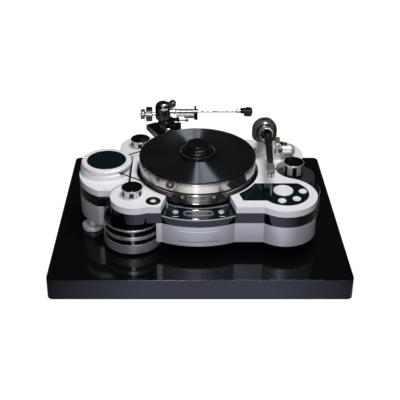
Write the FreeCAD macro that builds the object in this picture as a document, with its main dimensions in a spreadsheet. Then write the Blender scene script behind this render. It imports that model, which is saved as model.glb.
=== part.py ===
import FreeCAD, Part
import math
import os

import Sketcher

# An air bearing turntable: a record player with its chassis in three layers on three air legs,
# a motor pod beside it, two tonearms and a polished slab that carries everything.
# Lengths are in millimetres. Z is up, X is to the right and Y is away from the listener.

os.makedirs("parts", exist_ok=True)
doc = FreeCAD.newDocument("turntable")
sheet = doc.addObject("Spreadsheet::Sheet", "Sheet")

# Driving dimensions: the cell's alias and its value.
DRIVING = [
    # Slab and the place of the platter's axis on it
    ("plinth_width", 738), ("plinth_depth", 614), ("plinth_thick", 57),
    ("plinth_corner", 14), ("plinth_edge", 1.6),
    ("axis_left", 3), ("axis_front", 5),
    # Heights of the chassis layers
    ("chassis_gap", 34), ("lower_height", 55), ("middle_height", 29), ("top_thick", 17.5),
    # Plan of the chassis, from the platter's axis
    ("well_gap", 8), ("left_wall", 12.5), ("side_right", 236), ("front_wall", 31.5),
    ("rear_wall", 7.5), ("panel_deep", 51.5), ("front_lobe_left", 158),
    ("front_lobe_depth", 138), ("front_lobe_radius", 62), ("rear_lobe_left", 152),
    ("rear_lobe_depth", 126), ("rear_lobe_radius", 60), ("panel_lobe_right", 216),
    ("panel_lobe_in", 82), ("panel_lobe_radius", 82.5), ("corner_lobe_right", 204),
    ("corner_lobe_depth", 83), ("corner_lobe_radius", 85), ("cap_lobe_radius", 57),
    ("recess_right", 258), ("recess_front", 3), ("recess_radius", 51),
    # Front control panel
    ("panel_front_half", 92.5), ("panel_rear_half", 80), ("panel_rear_depth", 138),
    ("panel_drop", 9.5), ("panel_glass", 4), ("trim_width", 3), ("trim_proud", 0.8),
    ("display_half", 38), ("display_radius", 12.5), ("display_in", 17.5),
    ("key_spread", 56.5), ("key_in", 11.5), ("key_radius", 7.6), ("key_proud", 2.2),
    # Side control panel
    ("side_glass_thick", 3), ("side_glass_proud", 0.2), ("side_glass_left", 102.5),
    ("side_glass_front", 161.5),
    ("side_glass_rear", 77.5), ("side_glass_rim", 4), ("side_glass_right", 218),
    ("side_glass_depth", 125), ("side_glass_radius", 60), ("side_glass_nose", 9),
    ("big_key_right", 214.5), ("big_key_depth", 115), ("big_key_radius", 25),
    ("big_key_proud", 3), ("small_key_reach", 49), ("small_key_radius", 10.3),
    ("small_key_proud", 2.4), ("key_gap", 0.4), ("key_travel", 1.2),
    # Air legs
    ("leg_left", 165), ("leg_front", 131.5), ("leg_rear_left", 157), ("leg_rear", 133),
    ("leg_right", 254), ("leg_right_front", 1), ("leg_radius", 75), ("leg_step", 2.2),
    ("leg_notch", 86), ("leg_foot", 6), ("leg_base", 26.6), ("leg_band", 12.8),
    ("leg_ring", 9.8), ("leg_upper", 15.5), ("leg_top_ring", 5), ("leg_neck", 48),
    ("leg_post", 14),
    # Knobs on the legs
    ("knob_top", 40), ("knob_radius", 27), ("knob_rim", 3.4), ("knob_grip", 24.6),
    ("knob_disc", 1.4), ("knob_cap", 8), ("knob_window_wide", 11), ("knob_window_deep", 2.4),
    # Motor pod
    ("pod_reach", 60.5), ("pod_slit", 6), ("pod_arc_left", 197), ("pod_arc_front", 17),
    ("pod_arc_radius", 112.5), ("pod_front", 114.5), ("pod_rear", 78), ("pod_notch", 66),
    ("pod_leg_notch", 77), ("pod_cap_radius", 66), ("pod_cap_height", 26.5),
    ("pod_drum_radius", 69.5), ("pod_drum_tall", 13), ("pod_cap_wall", 12),
    ("pod_glass_radius", 51.5), ("pod_glass_thick", 2.5),
    ("pod_slot_low", 6), ("pod_slot_tall", 12), ("pod_slot_half", 54),
    ("motor_radius", 42), ("motor_tall", 62), ("motor_shaft", 4), ("pulley_radius", 14),
    ("pulley_tall", 11), ("pod_foot_radius", 27.5), ("pod_foot_tall", 12),
    ("pod_foot_stem", 9), ("pod_foot_out", 35.5), ("pod_foot_front", 72),
    ("pod_foot_rear_out", 32.5), ("pod_foot_rear", 36), ("pod_foot_in", 43.5),
    # Platter, record and clamp, from the top of the middle layer
    ("bearing_recess", 12), ("bearing_inset", 7.5), ("bearing_thick", 9.9), ("air_film", 0.3),
    ("platter_radius", 152.5), ("platter_low", 28.3), ("belt_groove", 4), ("groove_deep", 2.5),
    ("platter_taper", 3), ("platter_top", 26), ("mat_thick", 4), ("mat_lip", 0.5),
    ("record_radius", 150.8), ("record_thick", 1.9), ("rest_gap", 0.1),
    ("spindle_radius", 9), ("spindle_tip", 16.3), ("spindle_cone", 5.7),
    ("pin_radius", 3.6), ("pin_tall", 11), ("running_gap", 0.05),
    ("housing_radius", 55), ("clamp_ring_radius", 47), ("clamp_ring_tall", 9.5),
    ("clamp_body_radius", 37), ("clamp_body_tall", 15.5), ("clamp_step_radius", 33),
    ("clamp_neck_radius", 29), ("clamp_cap_radius", 28), ("clamp_tall", 31.5),
    # Belt
    ("belt_thick", 1.2), ("belt_tall", 3), ("belt_gap", 0.3),
    # Nameplate, level and air inlets
    ("plate_half", 50), ("plate_low", 12), ("plate_tall", 30), ("plate_thick", 3),
    ("fit_gap", 0.3), ("level_left", 111.5), ("level_depth", 164), ("level_radius", 18.5),
    ("level_ring", 6), ("level_proud", 1.6), ("level_deep", 10), ("inlet_radius", 5),
    ("inlet_long", 22), ("inlet_first", 40), ("inlet_pitch", 34), ("inlet_height", 26),
    # Tonearms, from each arm's pivot. Heights are above the slab.
    ("arm_height", 207), ("arm_turn_left", 0), ("arm_turn_right", -93),
    ("left_pivot_left", 86), ("left_pivot_rear", 205), ("right_pivot_right", 190),
    ("right_pivot_rear", 84), ("board_thick", 16), ("board_chamfer", 1.5), ("board_left", 24),
    ("board_right", 42), ("board_rear", 43), ("board_wing", 35), ("board_slant", 15),
    ("board_nose", 12), ("board_seat", 6.5), ("board_notch_seat", 10.5), ("board_side_seat", 0.5),
    ("board_notch", 16), ("left_flange_radius", 31),
    ("right_flange_radius", 36.5), ("flange_thick", 6.8), ("left_column_radius", 24),
    ("right_column_radius", 28), ("arm_shaft", 6), ("arm_pin", 2.5),
    # Bearing bells of the tonearms
    ("bell_base", 183), ("left_bell_top", 237), ("right_bell_top", 241.5),
    ("left_bell_radius", 21.5), ("right_bell_radius", 33.5), ("left_bell_round", 18),
    ("right_bell_round", 32.5), ("bell_foot_round", 7), ("bell_wall", 3), ("bell_floor", 6),
    ("left_bell_back", 9.5), ("right_bell_side", 8), ("opening_gap", 1.4),
    ("head_reach", 18.5), ("head_height", 231), ("head_radius", 9.2), ("head_front", 9),
    ("head_rear", 7), ("collar_side", 3.5), ("collar_height", 211), ("collar_radius", 18.5),
    ("collar_wall", 3.7), ("collar_reach", 33), ("collar_floor", 24), ("cup_side", 12.5),
    ("cup_rise", 10.5), ("cup_radius", 6.4), ("cup_reach", 29),
    # Wands, headshells, cartridges and weights
    ("hub_back", 9), ("hub_front", 4), ("hub_half", 7), ("pin_reach", 30), ("hub_above", 8),
    ("stub_drop", 9),
    ("stub_radius", 4.4), ("stub_long", 74), ("weight_near", 40), ("weight_long", 17),
    ("weight_radius", 20.5), ("end_weight_near", 61), ("end_weight_long", 11),
    ("end_weight_radius", 14), ("left_thick_end", 84), ("left_thick_radius", 6.2),
    ("wand_ring", 1), ("root_ring_start", 20), ("root_ring_long", 6), ("left_thin_radius", 3.3),
    ("left_thin_end", 210), ("right_neck_radius", 7.5), ("right_root_radius", 10.6),
    ("right_tip_radius", 7.2), ("right_wand_end", 191), ("tip_collar", 1.6),
    ("shell_start", 210), ("right_shell_start", 189), ("shell_long", 34),
    ("right_shell_long", 42), ("shell_wide", 20), ("right_shell_wide", 19), ("shell_below", 3),
    ("shell_above", 7), ("right_shell_above", 4), ("cartridge_long", 22), ("cartridge_wide", 16),
    ("left_cartridge_tall", 9.5), ("right_cartridge_tall", 13), ("stylus_height", 187),
    # Arm rests and cue levers
    ("rest_near", 29), ("rest_far", 89), ("rest_side", 10), ("rest_drop", 16),
    ("rest_radius", 4.8), ("rest_clip", 9), ("rest_clear", 4), ("rest_plate", 3.5),
    ("rest_plate_long", 38),
    ("prong_side", 11), ("prong_rise", 10), ("lever_out", 5), ("lever_height", 178),
    ("lever_long", 26), ("lever_radius", 1.8), ("lever_hub", 4), ("lever_knob", 3.8),
    # Cue post and barrel knob beside the right arm
    ("cue_post_right", 216), ("cue_post_rear", 60), ("cue_post_radius", 5),
    ("cue_disc_radius", 7.5), ("cue_disc_height", 175), ("cue_disc_thick", 7),
    ("cue_block_wide", 11), ("cue_block_tall", 14), ("cue_lever_long", 11),
    ("barrel_start", 228.5), ("barrel_long", 34.5), ("barrel_radius", 18),
    ("barrel_depth", 62), ("barrel_height", 20.5), ("barrel_shaft", 4.2),
    ("housing_tall", 14.5), ("guide_rise", 10.5), ("guide_radius", 4.4),
]


class Size:
    """A number with the sheet expression it comes from, so that sums stay bound to the cells."""

    def __init__(self, value, text):
        self.value = value
        self.text = text

    def join(self, sign, other, swap=False):
        first, second = (size(other), self) if swap else (self, size(other))
        results = {
            "+": first.value + second.value,
            "-": first.value - second.value,
            "*": first.value * second.value,
            "/": first.value / second.value if second.value else 0.0,
        }
        return Size(results[sign], f"({first.text} {sign} {second.text})")

    def __add__(self, other):
        return self.join("+", other)

    def __radd__(self, other):
        return self.join("+", other, True)

    def __sub__(self, other):
        return self.join("-", other)

    def __rsub__(self, other):
        return self.join("-", other, True)

    def __mul__(self, other):
        return self.join("*", other)

    def __rmul__(self, other):
        return self.join("*", other, True)

    def __truediv__(self, other):
        return self.join("/", other)

    def __neg__(self):
        return self.join("*", -1)


def size(thing):
    """A plain number as a Size; a Size as it is."""
    return thing if isinstance(thing, Size) else Size(float(thing), repr(float(thing)))


def root(thing):
    """The square root of a Size."""
    return Size(math.sqrt(thing.value), f"sqrt({thing.text})")


class Driving:
    """The driving dimensions by name."""


d = Driving()
for row, (alias, value) in enumerate(DRIVING, start=1):
    sheet.set(f"A{row}", alias)
    sheet.set(f"B{row}", str(value))
    sheet.setAlias(f"B{row}", alias)
    setattr(d, alias, Size(value, "Sheet." + alias))
doc.recompute()

# Levels above the ground.
floor = d.plinth_thick
chassis_base = floor + d.chassis_gap
middle_base = chassis_base + d.lower_height
top_base = middle_base + d.middle_height
deck = top_base + d.top_thick
panel_level = top_base - d.panel_drop
bearing_level = top_base - d.bearing_recess
platter_base = bearing_level + d.bearing_thick + d.air_film
groove_base = platter_base + d.platter_low
upper_base = groove_base + d.belt_groove
mat_base = upper_base + d.platter_top
record_base = mat_base + d.mat_thick + d.rest_gap
record_top = record_base + d.record_thick
clamp_base = record_top + d.rest_gap
arm_level = floor + d.arm_height

# The platter's axis on the slab.
axis_x = -d.axis_left
axis_y = -d.axis_front

# Plan sizes that follow the platter.
bearing_radius = d.platter_radius - d.bearing_inset
mat_radius = d.platter_radius + d.mat_lip
groove_radius = d.platter_radius - d.groove_deep
well = d.platter_radius + d.well_gap
bulge = well + d.panel_deep
side_left = well + d.left_wall
front_depth = well + d.front_wall
rear_depth = well + d.rear_wall
panel_lobe_depth = bulge - d.panel_lobe_in
display_depth = well + d.display_in
key_depth = well + d.key_in
pod_edge = side_left + d.pod_slit
pod_left = pod_edge + d.pod_reach

made = {}


def bind(thing, **sizes):
    """Sets properties of an object, each tied to the sheet."""
    for name, amount in sizes.items():
        amount = size(amount)
        setattr(thing, name, amount.value)
        thing.setExpression(name, amount.text)
    return thing


def place(thing, x, y, z, turn=None):
    """Moves an object to a point given in Sizes, with an optional fixed rotation."""
    spot = FreeCAD.Vector(size(x).value, size(y).value, size(z).value)
    thing.Placement = FreeCAD.Placement(spot, turn or FreeCAD.Rotation())
    for axis, amount in zip("xyz", (x, y, z)):
        thing.setExpression("Placement.Base." + axis, size(amount).text)
    return thing


ALONG_X = FreeCAD.Rotation(FreeCAD.Vector(0, 1, 0), 90)
ALONG_Y = FreeCAD.Rotation(FreeCAD.Vector(1, 0, 0), -90)


def block(name, x0, x1, y0, y1, z0, z1):
    """A box between two corners."""
    thing = doc.addObject("Part::Box", name)
    x0, x1, y0, y1, z0, z1 = (size(v) for v in (x0, x1, y0, y1, z0, z1))
    bind(thing, Length=x1 - x0, Width=y1 - y0, Height=z1 - z0)
    return place(thing, x0, y0, z0)


def rod(name, radius, height, x, y, z, turn=None):
    """A cylinder that starts at a point and runs up, or along another axis."""
    thing = doc.addObject("Part::Cylinder", name)
    bind(thing, Radius=radius, Height=height)
    return place(thing, x, y, z, turn)


def wedge(name, front_half, rear_half, y0, y1, z0, z1, x=0):
    """A block whose width goes evenly from its front to its rear."""
    thing = doc.addObject("Part::Wedge", name)
    bind(thing, Xmin=-front_half, Xmax=front_half, Ymin=0, Ymax=y1 - y0, Zmin=0, Zmax=z1 - z0,
         X2min=-rear_half, X2max=rear_half, Z2min=0, Z2max=z1 - z0)
    return place(thing, x, y0, z0)


def fuse(name, *things):
    """Several solids joined."""
    thing = doc.addObject("Part::MultiFuse", name)
    thing.Shapes = list(things)
    thing.Refine = True
    return thing


def cut(name, base, *tools):
    """A solid with the tools taken away."""
    thing = doc.addObject("Part::Cut", name)
    thing.Base = base
    thing.Tool = tools[0] if len(tools) == 1 else fuse(name + "_tools", *tools)
    thing.Refine = True
    return thing


def common(name, first, second):
    """What two solids share."""
    thing = doc.addObject("Part::MultiCommon", name)
    thing.Shapes = [first, second]
    thing.Refine = True
    return thing


def keep(label, thing):
    """Marks an object as a piece of the turntable and gives it its name."""
    thing.Label = label
    made[label] = thing
    return thing


def origin_plane(body, role):
    """The plane of a body's own origin with this role."""
    return next(f for f in body.Origin.OriginFeatures if f.Role == role)


def pin_down(sketch, index, kind, amount, axis):
    """Fixes one coordinate of a line's first point to the sheet."""
    amount = size(amount)
    if abs(amount.value) < 1e-9:
        sketch.addConstraint(Sketcher.Constraint("PointOnObject", index, 1, axis))
        return
    number = sketch.addConstraint(Sketcher.Constraint(kind, -1, 1, index, 1, amount.value))
    sketch.setExpression(f"Constraints[{number}]", amount.text)


def outline(body, role, points):
    """A closed sketch of straight lines through points given in Sizes."""
    sketch = body.newObject("Sketcher::SketchObject", body.Name + "_sketch")
    sketch.AttachmentSupport = (origin_plane(body, role), [""])
    sketch.MapMode = "FlatFace"
    corners = [FreeCAD.Vector(size(a).value, size(b).value, 0) for a, b in points]
    count = len(corners)
    for index in range(count):
        sketch.addGeometry(Part.LineSegment(corners[index], corners[(index + 1) % count]))
    for index in range(count):
        sketch.addConstraint(Sketcher.Constraint("Coincident", index, 2, (index + 1) % count, 1))
    for index, (a, b) in enumerate(points):
        pin_down(sketch, index, "DistanceX", a, -2)
        pin_down(sketch, index, "DistanceY", b, -1)
    return sketch


def turned(name, points, x=0, y=0, z=0, axis="V_Axis"):
    """A body turned from a half section of (radius, height) pairs.

    With axis H_Axis the pairs are (place along X, radius) and it is turned about X.
    """
    body = doc.addObject("PartDesign::Body", name)
    place(body, x, y, z)
    sketch = outline(body, "XZ_Plane", points)
    turn = body.newObject("PartDesign::Revolution", body.Name + "_turn")
    turn.Profile = sketch
    turn.ReferenceAxis = (sketch, [axis])
    turn.Angle = 360
    body.Tip = turn
    return body


def padded(name, points, z, height, x=0, y=0):
    """A body padded upwards from a plan outline."""
    body = doc.addObject("PartDesign::Body", name)
    place(body, x, y, z)
    sketch = outline(body, "XY_Plane", points)
    pad = body.newObject("PartDesign::Pad", body.Name + "_pad")
    pad.Profile = sketch
    bind(pad, Length=height)
    body.Tip = pad
    return body


def edges(feature, test):
    """Names of a feature's edges whose middle point and direction pass the test."""
    doc.recompute()
    names = []
    for index, edge in enumerate(feature.Shape.Edges, start=1):
        middle = edge.valueAt((edge.FirstParameter + edge.LastParameter) / 2)
        if test(edge, middle):
            names.append(f"Edge{index}")
    return names


def at(x, y):
    """A point of the chassis plan, given from the platter's axis."""
    return axis_x + x, axis_y + y


def sector(name, outer, inner, half, z0, z1):
    """The front part of a ring about the platter's axis, as wide as twice half."""
    x, y = at(0, 0)
    tall = z1 - z0
    ring = cut(name + "_ring", rod(name + "_outer", outer, tall, x, y, z0),
               rod(name + "_inner", inner, tall + 2, x, y, z0 - 1))
    window = block(name + "_window", x - half, x + half, y - outer - 1, y - inner / 2, z0, z1)
    return common(name, ring, window)


# Slab

def make_plinth():
    body = doc.addObject("PartDesign::Body", "plinth")
    half_x = d.plinth_width / 2
    half_y = d.plinth_depth / 2
    corners = [(-half_x, -half_y), (half_x, -half_y), (half_x, half_y), (-half_x, half_y)]
    sketch = outline(body, "XY_Plane", corners)
    pad = body.newObject("PartDesign::Pad", "plinth_pad")
    pad.Profile = sketch
    bind(pad, Length=d.plinth_thick)
    upright = edges(pad, lambda edge, middle: abs(edge.tangentAt(edge.FirstParameter).z) > 0.9)
    corner = body.newObject("PartDesign::Fillet", "plinth_corners")
    corner.Base = (pad, upright)
    bind(corner, Radius=d.plinth_corner)
    flat = edges(corner, lambda edge, middle: abs(edge.tangentAt(edge.FirstParameter).z) < 0.1)
    soft = body.newObject("PartDesign::Fillet", "plinth_edges")
    soft.Base = (corner, flat)
    bind(soft, Radius=d.plinth_edge)
    body.Tip = soft
    keep("plinth", body)


# Chassis layers

LEGS = {
    "front_left": (-d.leg_left, -d.leg_front),
    "rear_left": (-d.leg_rear_left, d.leg_rear),
    "right": (d.leg_right, -d.leg_right_front),
}


def chassis_plan(name, z0, z1, lobes):
    """The chassis outline as a solid: the main block, the panel corner and the given lobes."""
    left, front = at(-side_left, -front_depth)
    right, rear = at(d.side_right, rear_depth)
    main_right = at(d.corner_lobe_right, 0)[0]
    parts = [
        block(name + "_main", left, main_right, front, rear, z0, z1),
        block(name + "_side", main_right - d.panel_lobe_radius, right,
              at(0, -panel_lobe_depth)[1], at(0, d.corner_lobe_depth)[1], z0, z1),
    ]
    lobe_places = {
        "panel": (d.panel_lobe_right, -panel_lobe_depth, d.panel_lobe_radius),
        "corner": (d.corner_lobe_right, d.corner_lobe_depth, d.corner_lobe_radius),
        "front": (-d.front_lobe_left, -d.front_lobe_depth, d.front_lobe_radius),
        "rear": (-d.rear_lobe_left, d.rear_lobe_depth, d.rear_lobe_radius),
        "cap": (d.leg_right, -d.leg_right_front, d.cap_lobe_radius),
    }
    for lobe in lobes:
        x, y, radius = lobe_places[lobe]
        parts.append(rod(f"{name}_{lobe}", radius, z1 - z0, *at(x, y), z0))
    return parts


def front_bulge(name, z0, z1):
    """The rounded front between the two straight stretches, about the platter's axis."""
    x, y = at(0, 0)
    disc = rod(name + "_disc", bulge, z1 - z0, x, y, z0)
    window = block(name + "_window", x - d.panel_front_half, x + d.panel_front_half,
                   y - bulge - 1, y, z0, z1)
    return common(name, disc, window)


def panel_gap(name, z0, z1, spare=0):
    """The space of the front panel: open to the front and narrower behind."""
    x, y = at(0, 0)
    return wedge(name, d.panel_front_half + spare, d.panel_rear_half + spare,
                 y - front_depth, y - d.panel_rear_depth, z0, z1, x)


def make_lower_chassis():
    z0, z1 = chassis_base, middle_base
    parts = chassis_plan("lower", z0, z1, ["panel", "corner"])
    parts.append(front_bulge("lower_bulge", z0, z1))
    tools = []
    for leg, (x, y) in LEGS.items():
        tools.append(rod("lower_notch_" + leg, d.leg_notch, z1 - z0 + 2, *at(x, y), z0 - 1))
    tools.append(sector("plate_recess", bulge + 2, bulge - d.plate_thick - d.fit_gap,
                        d.plate_half + d.fit_gap, z0 + d.plate_low - d.fit_gap,
                        z0 + d.plate_low + d.plate_tall + d.fit_gap))
    x, y = at(0, 0)
    tools.append(rod("bearing_bore", d.housing_radius, z1 - z0 + 2, x, y, z0 + 6))
    keep("lower_chassis", cut("lower_chassis", fuse("lower_block", *parts), *tools))


def make_nameplate():
    low = chassis_base + d.plate_low
    outer = bulge - 0.6
    plate = sector("nameplate", outer, bulge - d.plate_thick, d.plate_half, low,
                   low + d.plate_tall)
    keep("nameplate", plate)


def make_middle_chassis():
    z0, z1 = middle_base, top_base
    parts = chassis_plan("middle", z0, z1, ["panel", "corner", "front", "rear", "cap"])
    parts.append(front_bulge("middle_bulge", z0, z1))
    x, y = at(0, 0)
    tools = [
        rod("middle_well", well - d.trim_width, z1 - z0, x, y, bearing_level),
        rod("middle_bore", d.housing_radius, z1 - z0, x, y, z0 - 1),
        block("middle_front", x - d.panel_front_half, x + d.panel_front_half,
              y - bulge - 1, y - front_depth, panel_level - d.panel_glass, z1 + 1),
        panel_gap("middle_gap", panel_level - d.panel_glass, z1 + 1),
    ]
    for leg, (leg_x, leg_y) in LEGS.items():
        tools.append(rod("middle_post_" + leg, d.leg_post + d.fit_gap, z1 - z0 + 2,
                         *at(leg_x, leg_y), z0 - 1))
    keep("middle_chassis", cut("middle_chassis", fuse("middle_block", *parts), *tools))


def small_keys():
    """Places of the three small keys, on a circle about the big one."""
    spots = {}
    for name, angle in (("upper", -4), ("side", -53), ("lower", -99)):
        turn = math.radians(angle)
        spots[name] = (d.big_key_right + d.small_key_reach * math.cos(turn),
                       -d.big_key_depth + d.small_key_reach * math.sin(turn))
    return spots


def side_glass_solid(name, z0, z1, spare=0):
    """The side panel's glass: a round end and a straight stretch that follows the platter."""
    x, y = at(0, 0)
    tall = z1 - z0
    disc = rod(name + "_disc", d.side_glass_radius + spare, tall,
               *at(d.side_glass_right, -d.side_glass_depth), z0)
    bar = block(name + "_bar", x + d.side_glass_left - spare, x + d.side_glass_right,
                y - d.side_glass_front - spare, y - d.side_glass_rear + spare, z0, z1)
    rear = block(name + "_rear", x, x + d.side_glass_right * 2, y - d.side_glass_rear + spare,
                 y, z0 - 1, z1 + 1)
    arc = rod(name + "_arc", well + d.side_glass_rim - spare, tall + 2, x, y, z0 - 1)
    nose = padded(name + "_nose", [
        (d.side_glass_left - spare - 1, -d.side_glass_front - spare - 1),
        (d.side_glass_left + d.side_glass_nose - spare, -d.side_glass_front - spare - 1),
        (d.side_glass_left - spare - 1, -d.side_glass_front - spare + d.side_glass_nose * 4),
    ], z0 - 1, tall + 2, x, y)
    return cut(name, fuse(name + "_whole", disc, bar), rear, arc, nose)


def make_top_plate():
    z0, z1 = top_base, deck
    parts = chassis_plan("top", z0, z1, ["panel", "corner", "front", "rear"])
    x, y = at(0, 0)
    tools = [
        rod("top_well", well, z1 - z0 + 2, x, y, z0 - 1),
        panel_gap("top_gap", z0 - 1, z1 + 1),
        rod("top_recess", d.recess_radius, z1 - z0 + 2,
            *at(d.recess_right, -d.recess_front), z0 - 1),
        side_glass_solid("glass_pocket", z1 - d.side_glass_thick - d.fit_gap, z1 + 1, d.fit_gap),
        rod("level_pocket", d.level_radius + d.fit_gap, d.level_deep + 2,
            *at(-d.level_left, -d.level_depth), z1 - d.level_deep),
        rod("big_key_well", d.big_key_radius + d.key_gap, z1 - z0,
            *at(d.big_key_right, -d.big_key_depth), z0 + 4),
    ]
    for key, (key_x, key_y) in small_keys().items():
        tools.append(rod(f"key_well_{key}", d.small_key_radius + d.key_gap, z1 - z0,
                         *at(key_x, key_y), z0 + 4))
    for leg in ("front_left", "rear_left"):
        tools.append(rod("top_post_" + leg, d.leg_post + d.fit_gap, z1 - z0 + 2,
                         *at(*LEGS[leg]), z0 - 1))
    keep("top_plate", cut("top_plate", fuse("top_block", *parts), *tools))


# Control panels

def make_front_panel():
    x, y = at(0, 0)
    z0, z1 = panel_level - d.panel_glass, panel_level
    inner = well - d.trim_width + d.fit_gap
    glass_outer = bulge - d.trim_width - d.fit_gap
    ring = cut("front_glass_ring", rod("front_glass_outer", glass_outer, z1 - z0, x, y, z0),
               rod("front_glass_inner", inner, z1 - z0 + 2, x, y, z0 - 1))
    narrow = (d.panel_front_half - d.panel_rear_half) / (front_depth - d.panel_rear_depth)
    reach = bulge - d.panel_rear_depth
    front_half = d.panel_rear_half + narrow * reach - d.fit_gap
    rear_half = d.panel_rear_half - d.fit_gap
    window = wedge("front_glass_window", front_half, rear_half, y - bulge,
                   y - d.panel_rear_depth, z0, z1, x)
    tools = []
    for side in (-1, 1):
        tools.append(rod("front_key_hole", d.key_radius + d.key_gap, z1 - z0 + 2,
                         x + d.key_spread * side, y - key_depth, z0 - 1))
    tools.append(stadium("display_hole", d.display_half + d.fit_gap, d.display_radius + d.fit_gap,
                         z0 - 1, z1 + 1))
    keep("front_panel_glass", cut("front_panel_glass",
                                  common("front_glass", ring, window), *tools))
    front_rim = common("front_rim", sector("front_rim_ring", bulge, bulge - d.trim_width,
                                           d.panel_front_half - d.fit_gap, z0,
                                           z1 + d.trim_proud),
                       wedge("front_rim_window", front_half, rear_half, y - bulge,
                             y - d.panel_rear_depth, z0, z1 + d.trim_proud, x))
    rear_rim = sector("rear_rim", well - d.trim_width - d.fit_gap, well - d.trim_width * 2,
                      rear_half, bearing_level, z1 + d.trim_proud)
    keep("front_panel_trim", fuse("rims", front_rim, rear_rim))


def stadium(name, half, radius, z0, z1):
    """A slot shape with round ends, across the front of the platter."""
    x, y = at(0, -display_depth)
    reach = half - radius
    return fuse(name, block(name + "_bar", x - reach, x + reach, y - radius, y + radius, z0, z1),
                rod(name + "_left", radius, z1 - z0, x - reach, y, z0),
                rod(name + "_right", radius, z1 - z0, x + reach, y, z0))


def make_display():
    z0 = panel_level - d.panel_glass
    frame = cut("display_frame", stadium("display_body", d.display_half, d.display_radius, z0,
                                         panel_level + d.trim_proud),
                stadium("display_window", d.display_half - 5, d.display_radius - 5,
                        panel_level - 1, panel_level + 5))
    keep("display_frame", frame)


def key(label, x, y, top, proud, radius, seat):
    """A round push key with a softly domed face on a short stem."""
    body = turned(label, [
        (0, seat + d.key_travel), (radius * 0.5, seat + d.key_travel),
        (radius * 0.5, top - 2), (radius, top - 2), (radius, top + proud - 0.9),
        (radius - 0.9, top + proud - 0.15), (radius * 0.6, top + proud), (0, top + proud),
    ], x, y, 0)
    keep(label, body)


def make_front_keys():
    for side, name in ((-1, "left"), (1, "right")):
        x, y = at(d.key_spread * side, -key_depth)
        key(f"front_key_{name}", x, y, panel_level, d.key_proud, d.key_radius,
            panel_level - d.panel_glass)


def make_side_panel():
    glass = side_glass_solid("side_glass", deck - d.side_glass_thick, deck + d.side_glass_proud)
    tools = [rod("side_glass_big", d.big_key_radius + d.key_gap, d.top_thick,
                 *at(d.big_key_right, -d.big_key_depth), deck - d.top_thick / 2)]
    for name, (x, y) in small_keys().items():
        tools.append(rod("side_glass_" + name, d.small_key_radius + d.key_gap, d.top_thick,
                         *at(x, y), deck - d.top_thick / 2))
    keep("side_panel_glass", cut("side_panel_glass", glass, *tools))
    seat = top_base + 4
    x, y = at(d.big_key_right, -d.big_key_depth)
    key("main_key", x, y, deck, d.big_key_proud, d.big_key_radius, seat)
    for name, spot in small_keys().items():
        x, y = at(*spot)
        key(f"small_key_{name}", x, y, deck, d.small_key_proud, d.small_key_radius, seat)


# Air legs and their knobs

def leg_levels():
    """Heights of the leg's steps above the ground."""
    base = floor + d.leg_foot
    band = base + d.leg_base
    ring = band + d.leg_band
    upper = ring + d.leg_ring
    crown = upper + d.leg_upper
    return base, band, ring, upper, crown, crown + d.leg_top_ring


def make_legs():
    base, band, ring, upper, crown, shoulder = leg_levels()
    wide = d.leg_radius
    dark = d.leg_radius - d.leg_step
    core = d.leg_radius - 10
    bases = []
    rings = []
    for leg, spot in LEGS.items():
        x, y = at(*spot)
        top = top_base + d.knob_top - d.knob_cap
        body = turned(leg + "_leg", [
            (0, band), (dark, band), (dark, ring), (core, ring), (core, upper), (dark, upper),
            (dark, crown), (core - 3, crown), (core - 3, shoulder), (d.leg_neck, shoulder),
            (d.leg_neck, middle_base), (d.leg_post, middle_base), (d.leg_post, top), (0, top),
        ], x, y)
        keep(leg + "_leg", body)
        bases.append(turned(leg + "_leg_base", [
            (0, floor), (wide * 0.6, floor), (wide * 0.6, base), (wide - 2, base),
            (wide, base + 2), (wide, band - 1.2), (wide - 1.2, band), (0, band),
        ], x, y))
        rings.append(turned(leg + "_lower_ring", [
            (core + 0.3, ring), (wide - 1, ring), (wide, ring + 1), (wide, upper - 1),
            (wide - 1, upper), (core + 0.3, upper),
        ], x, y))
        rings.append(turned(leg + "_upper_ring", [
            (core - 2.7, crown), (wide - 1, crown), (wide, crown + 1), (wide, shoulder - 2),
            (wide - 2, shoulder), (core - 2.7, shoulder),
        ], x, y))
    keep("leg_bases", fuse("leg_bases", *bases))
    keep("leg_rings", fuse("leg_rings", *rings))


def knob_seat(leg):
    """The face that a leg's knob turns on: the deck, or the middle layer in the recess."""
    return top_base if leg == "right" else deck


def make_knobs():
    for leg, spot in LEGS.items():
        x, y = at(*spot)
        seat = knob_seat(leg) + d.fit_gap
        top = top_base + d.knob_top
        body = turned(leg + "_knob_body", [
            (d.leg_post + d.running_gap, seat), (d.knob_grip, seat),
            (d.knob_grip, top - d.knob_rim - d.knob_disc),
            (d.knob_radius - 0.8, top - d.knob_rim - d.knob_disc),
            (d.knob_radius, top - d.knob_rim - d.knob_disc + 0.8),
            (d.knob_radius, top - d.knob_disc - 0.5), (d.knob_radius - 0.5, top - d.knob_disc),
            (d.knob_radius - 1.6, top - d.knob_disc), (d.knob_radius - 2.4, top),
            (0, top), (0, top - d.knob_cap + 1), (d.leg_post + d.running_gap, top - d.knob_cap + 1),
        ], x, y)
        windows = []
        tall = top - d.knob_rim - d.knob_disc - 2.5 - (seat + 2)
        for index in range(6):
            angle = 60 * index - 90
            turn = FreeCAD.Rotation(FreeCAD.Vector(0, 0, 1), angle)
            window = doc.addObject("Part::Box", f"{leg}_window_{index}")
            bind(window, Length=10, Width=d.knob_window_wide, Height=tall)
            reach = d.knob_grip - d.knob_window_deep
            out_x = reach * math.cos(math.radians(angle))
            out_y = reach * math.sin(math.radians(angle))
            side_x = d.knob_window_wide / 2 * math.sin(math.radians(angle))
            side_y = d.knob_window_wide / -2 * math.cos(math.radians(angle))
            windows.append(place(window, x + out_x + side_x, y + out_y + side_y, seat + 2, turn))
        keep(leg + "_knob", cut(leg + "_knob", body, *windows))


# Motor pod

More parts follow.
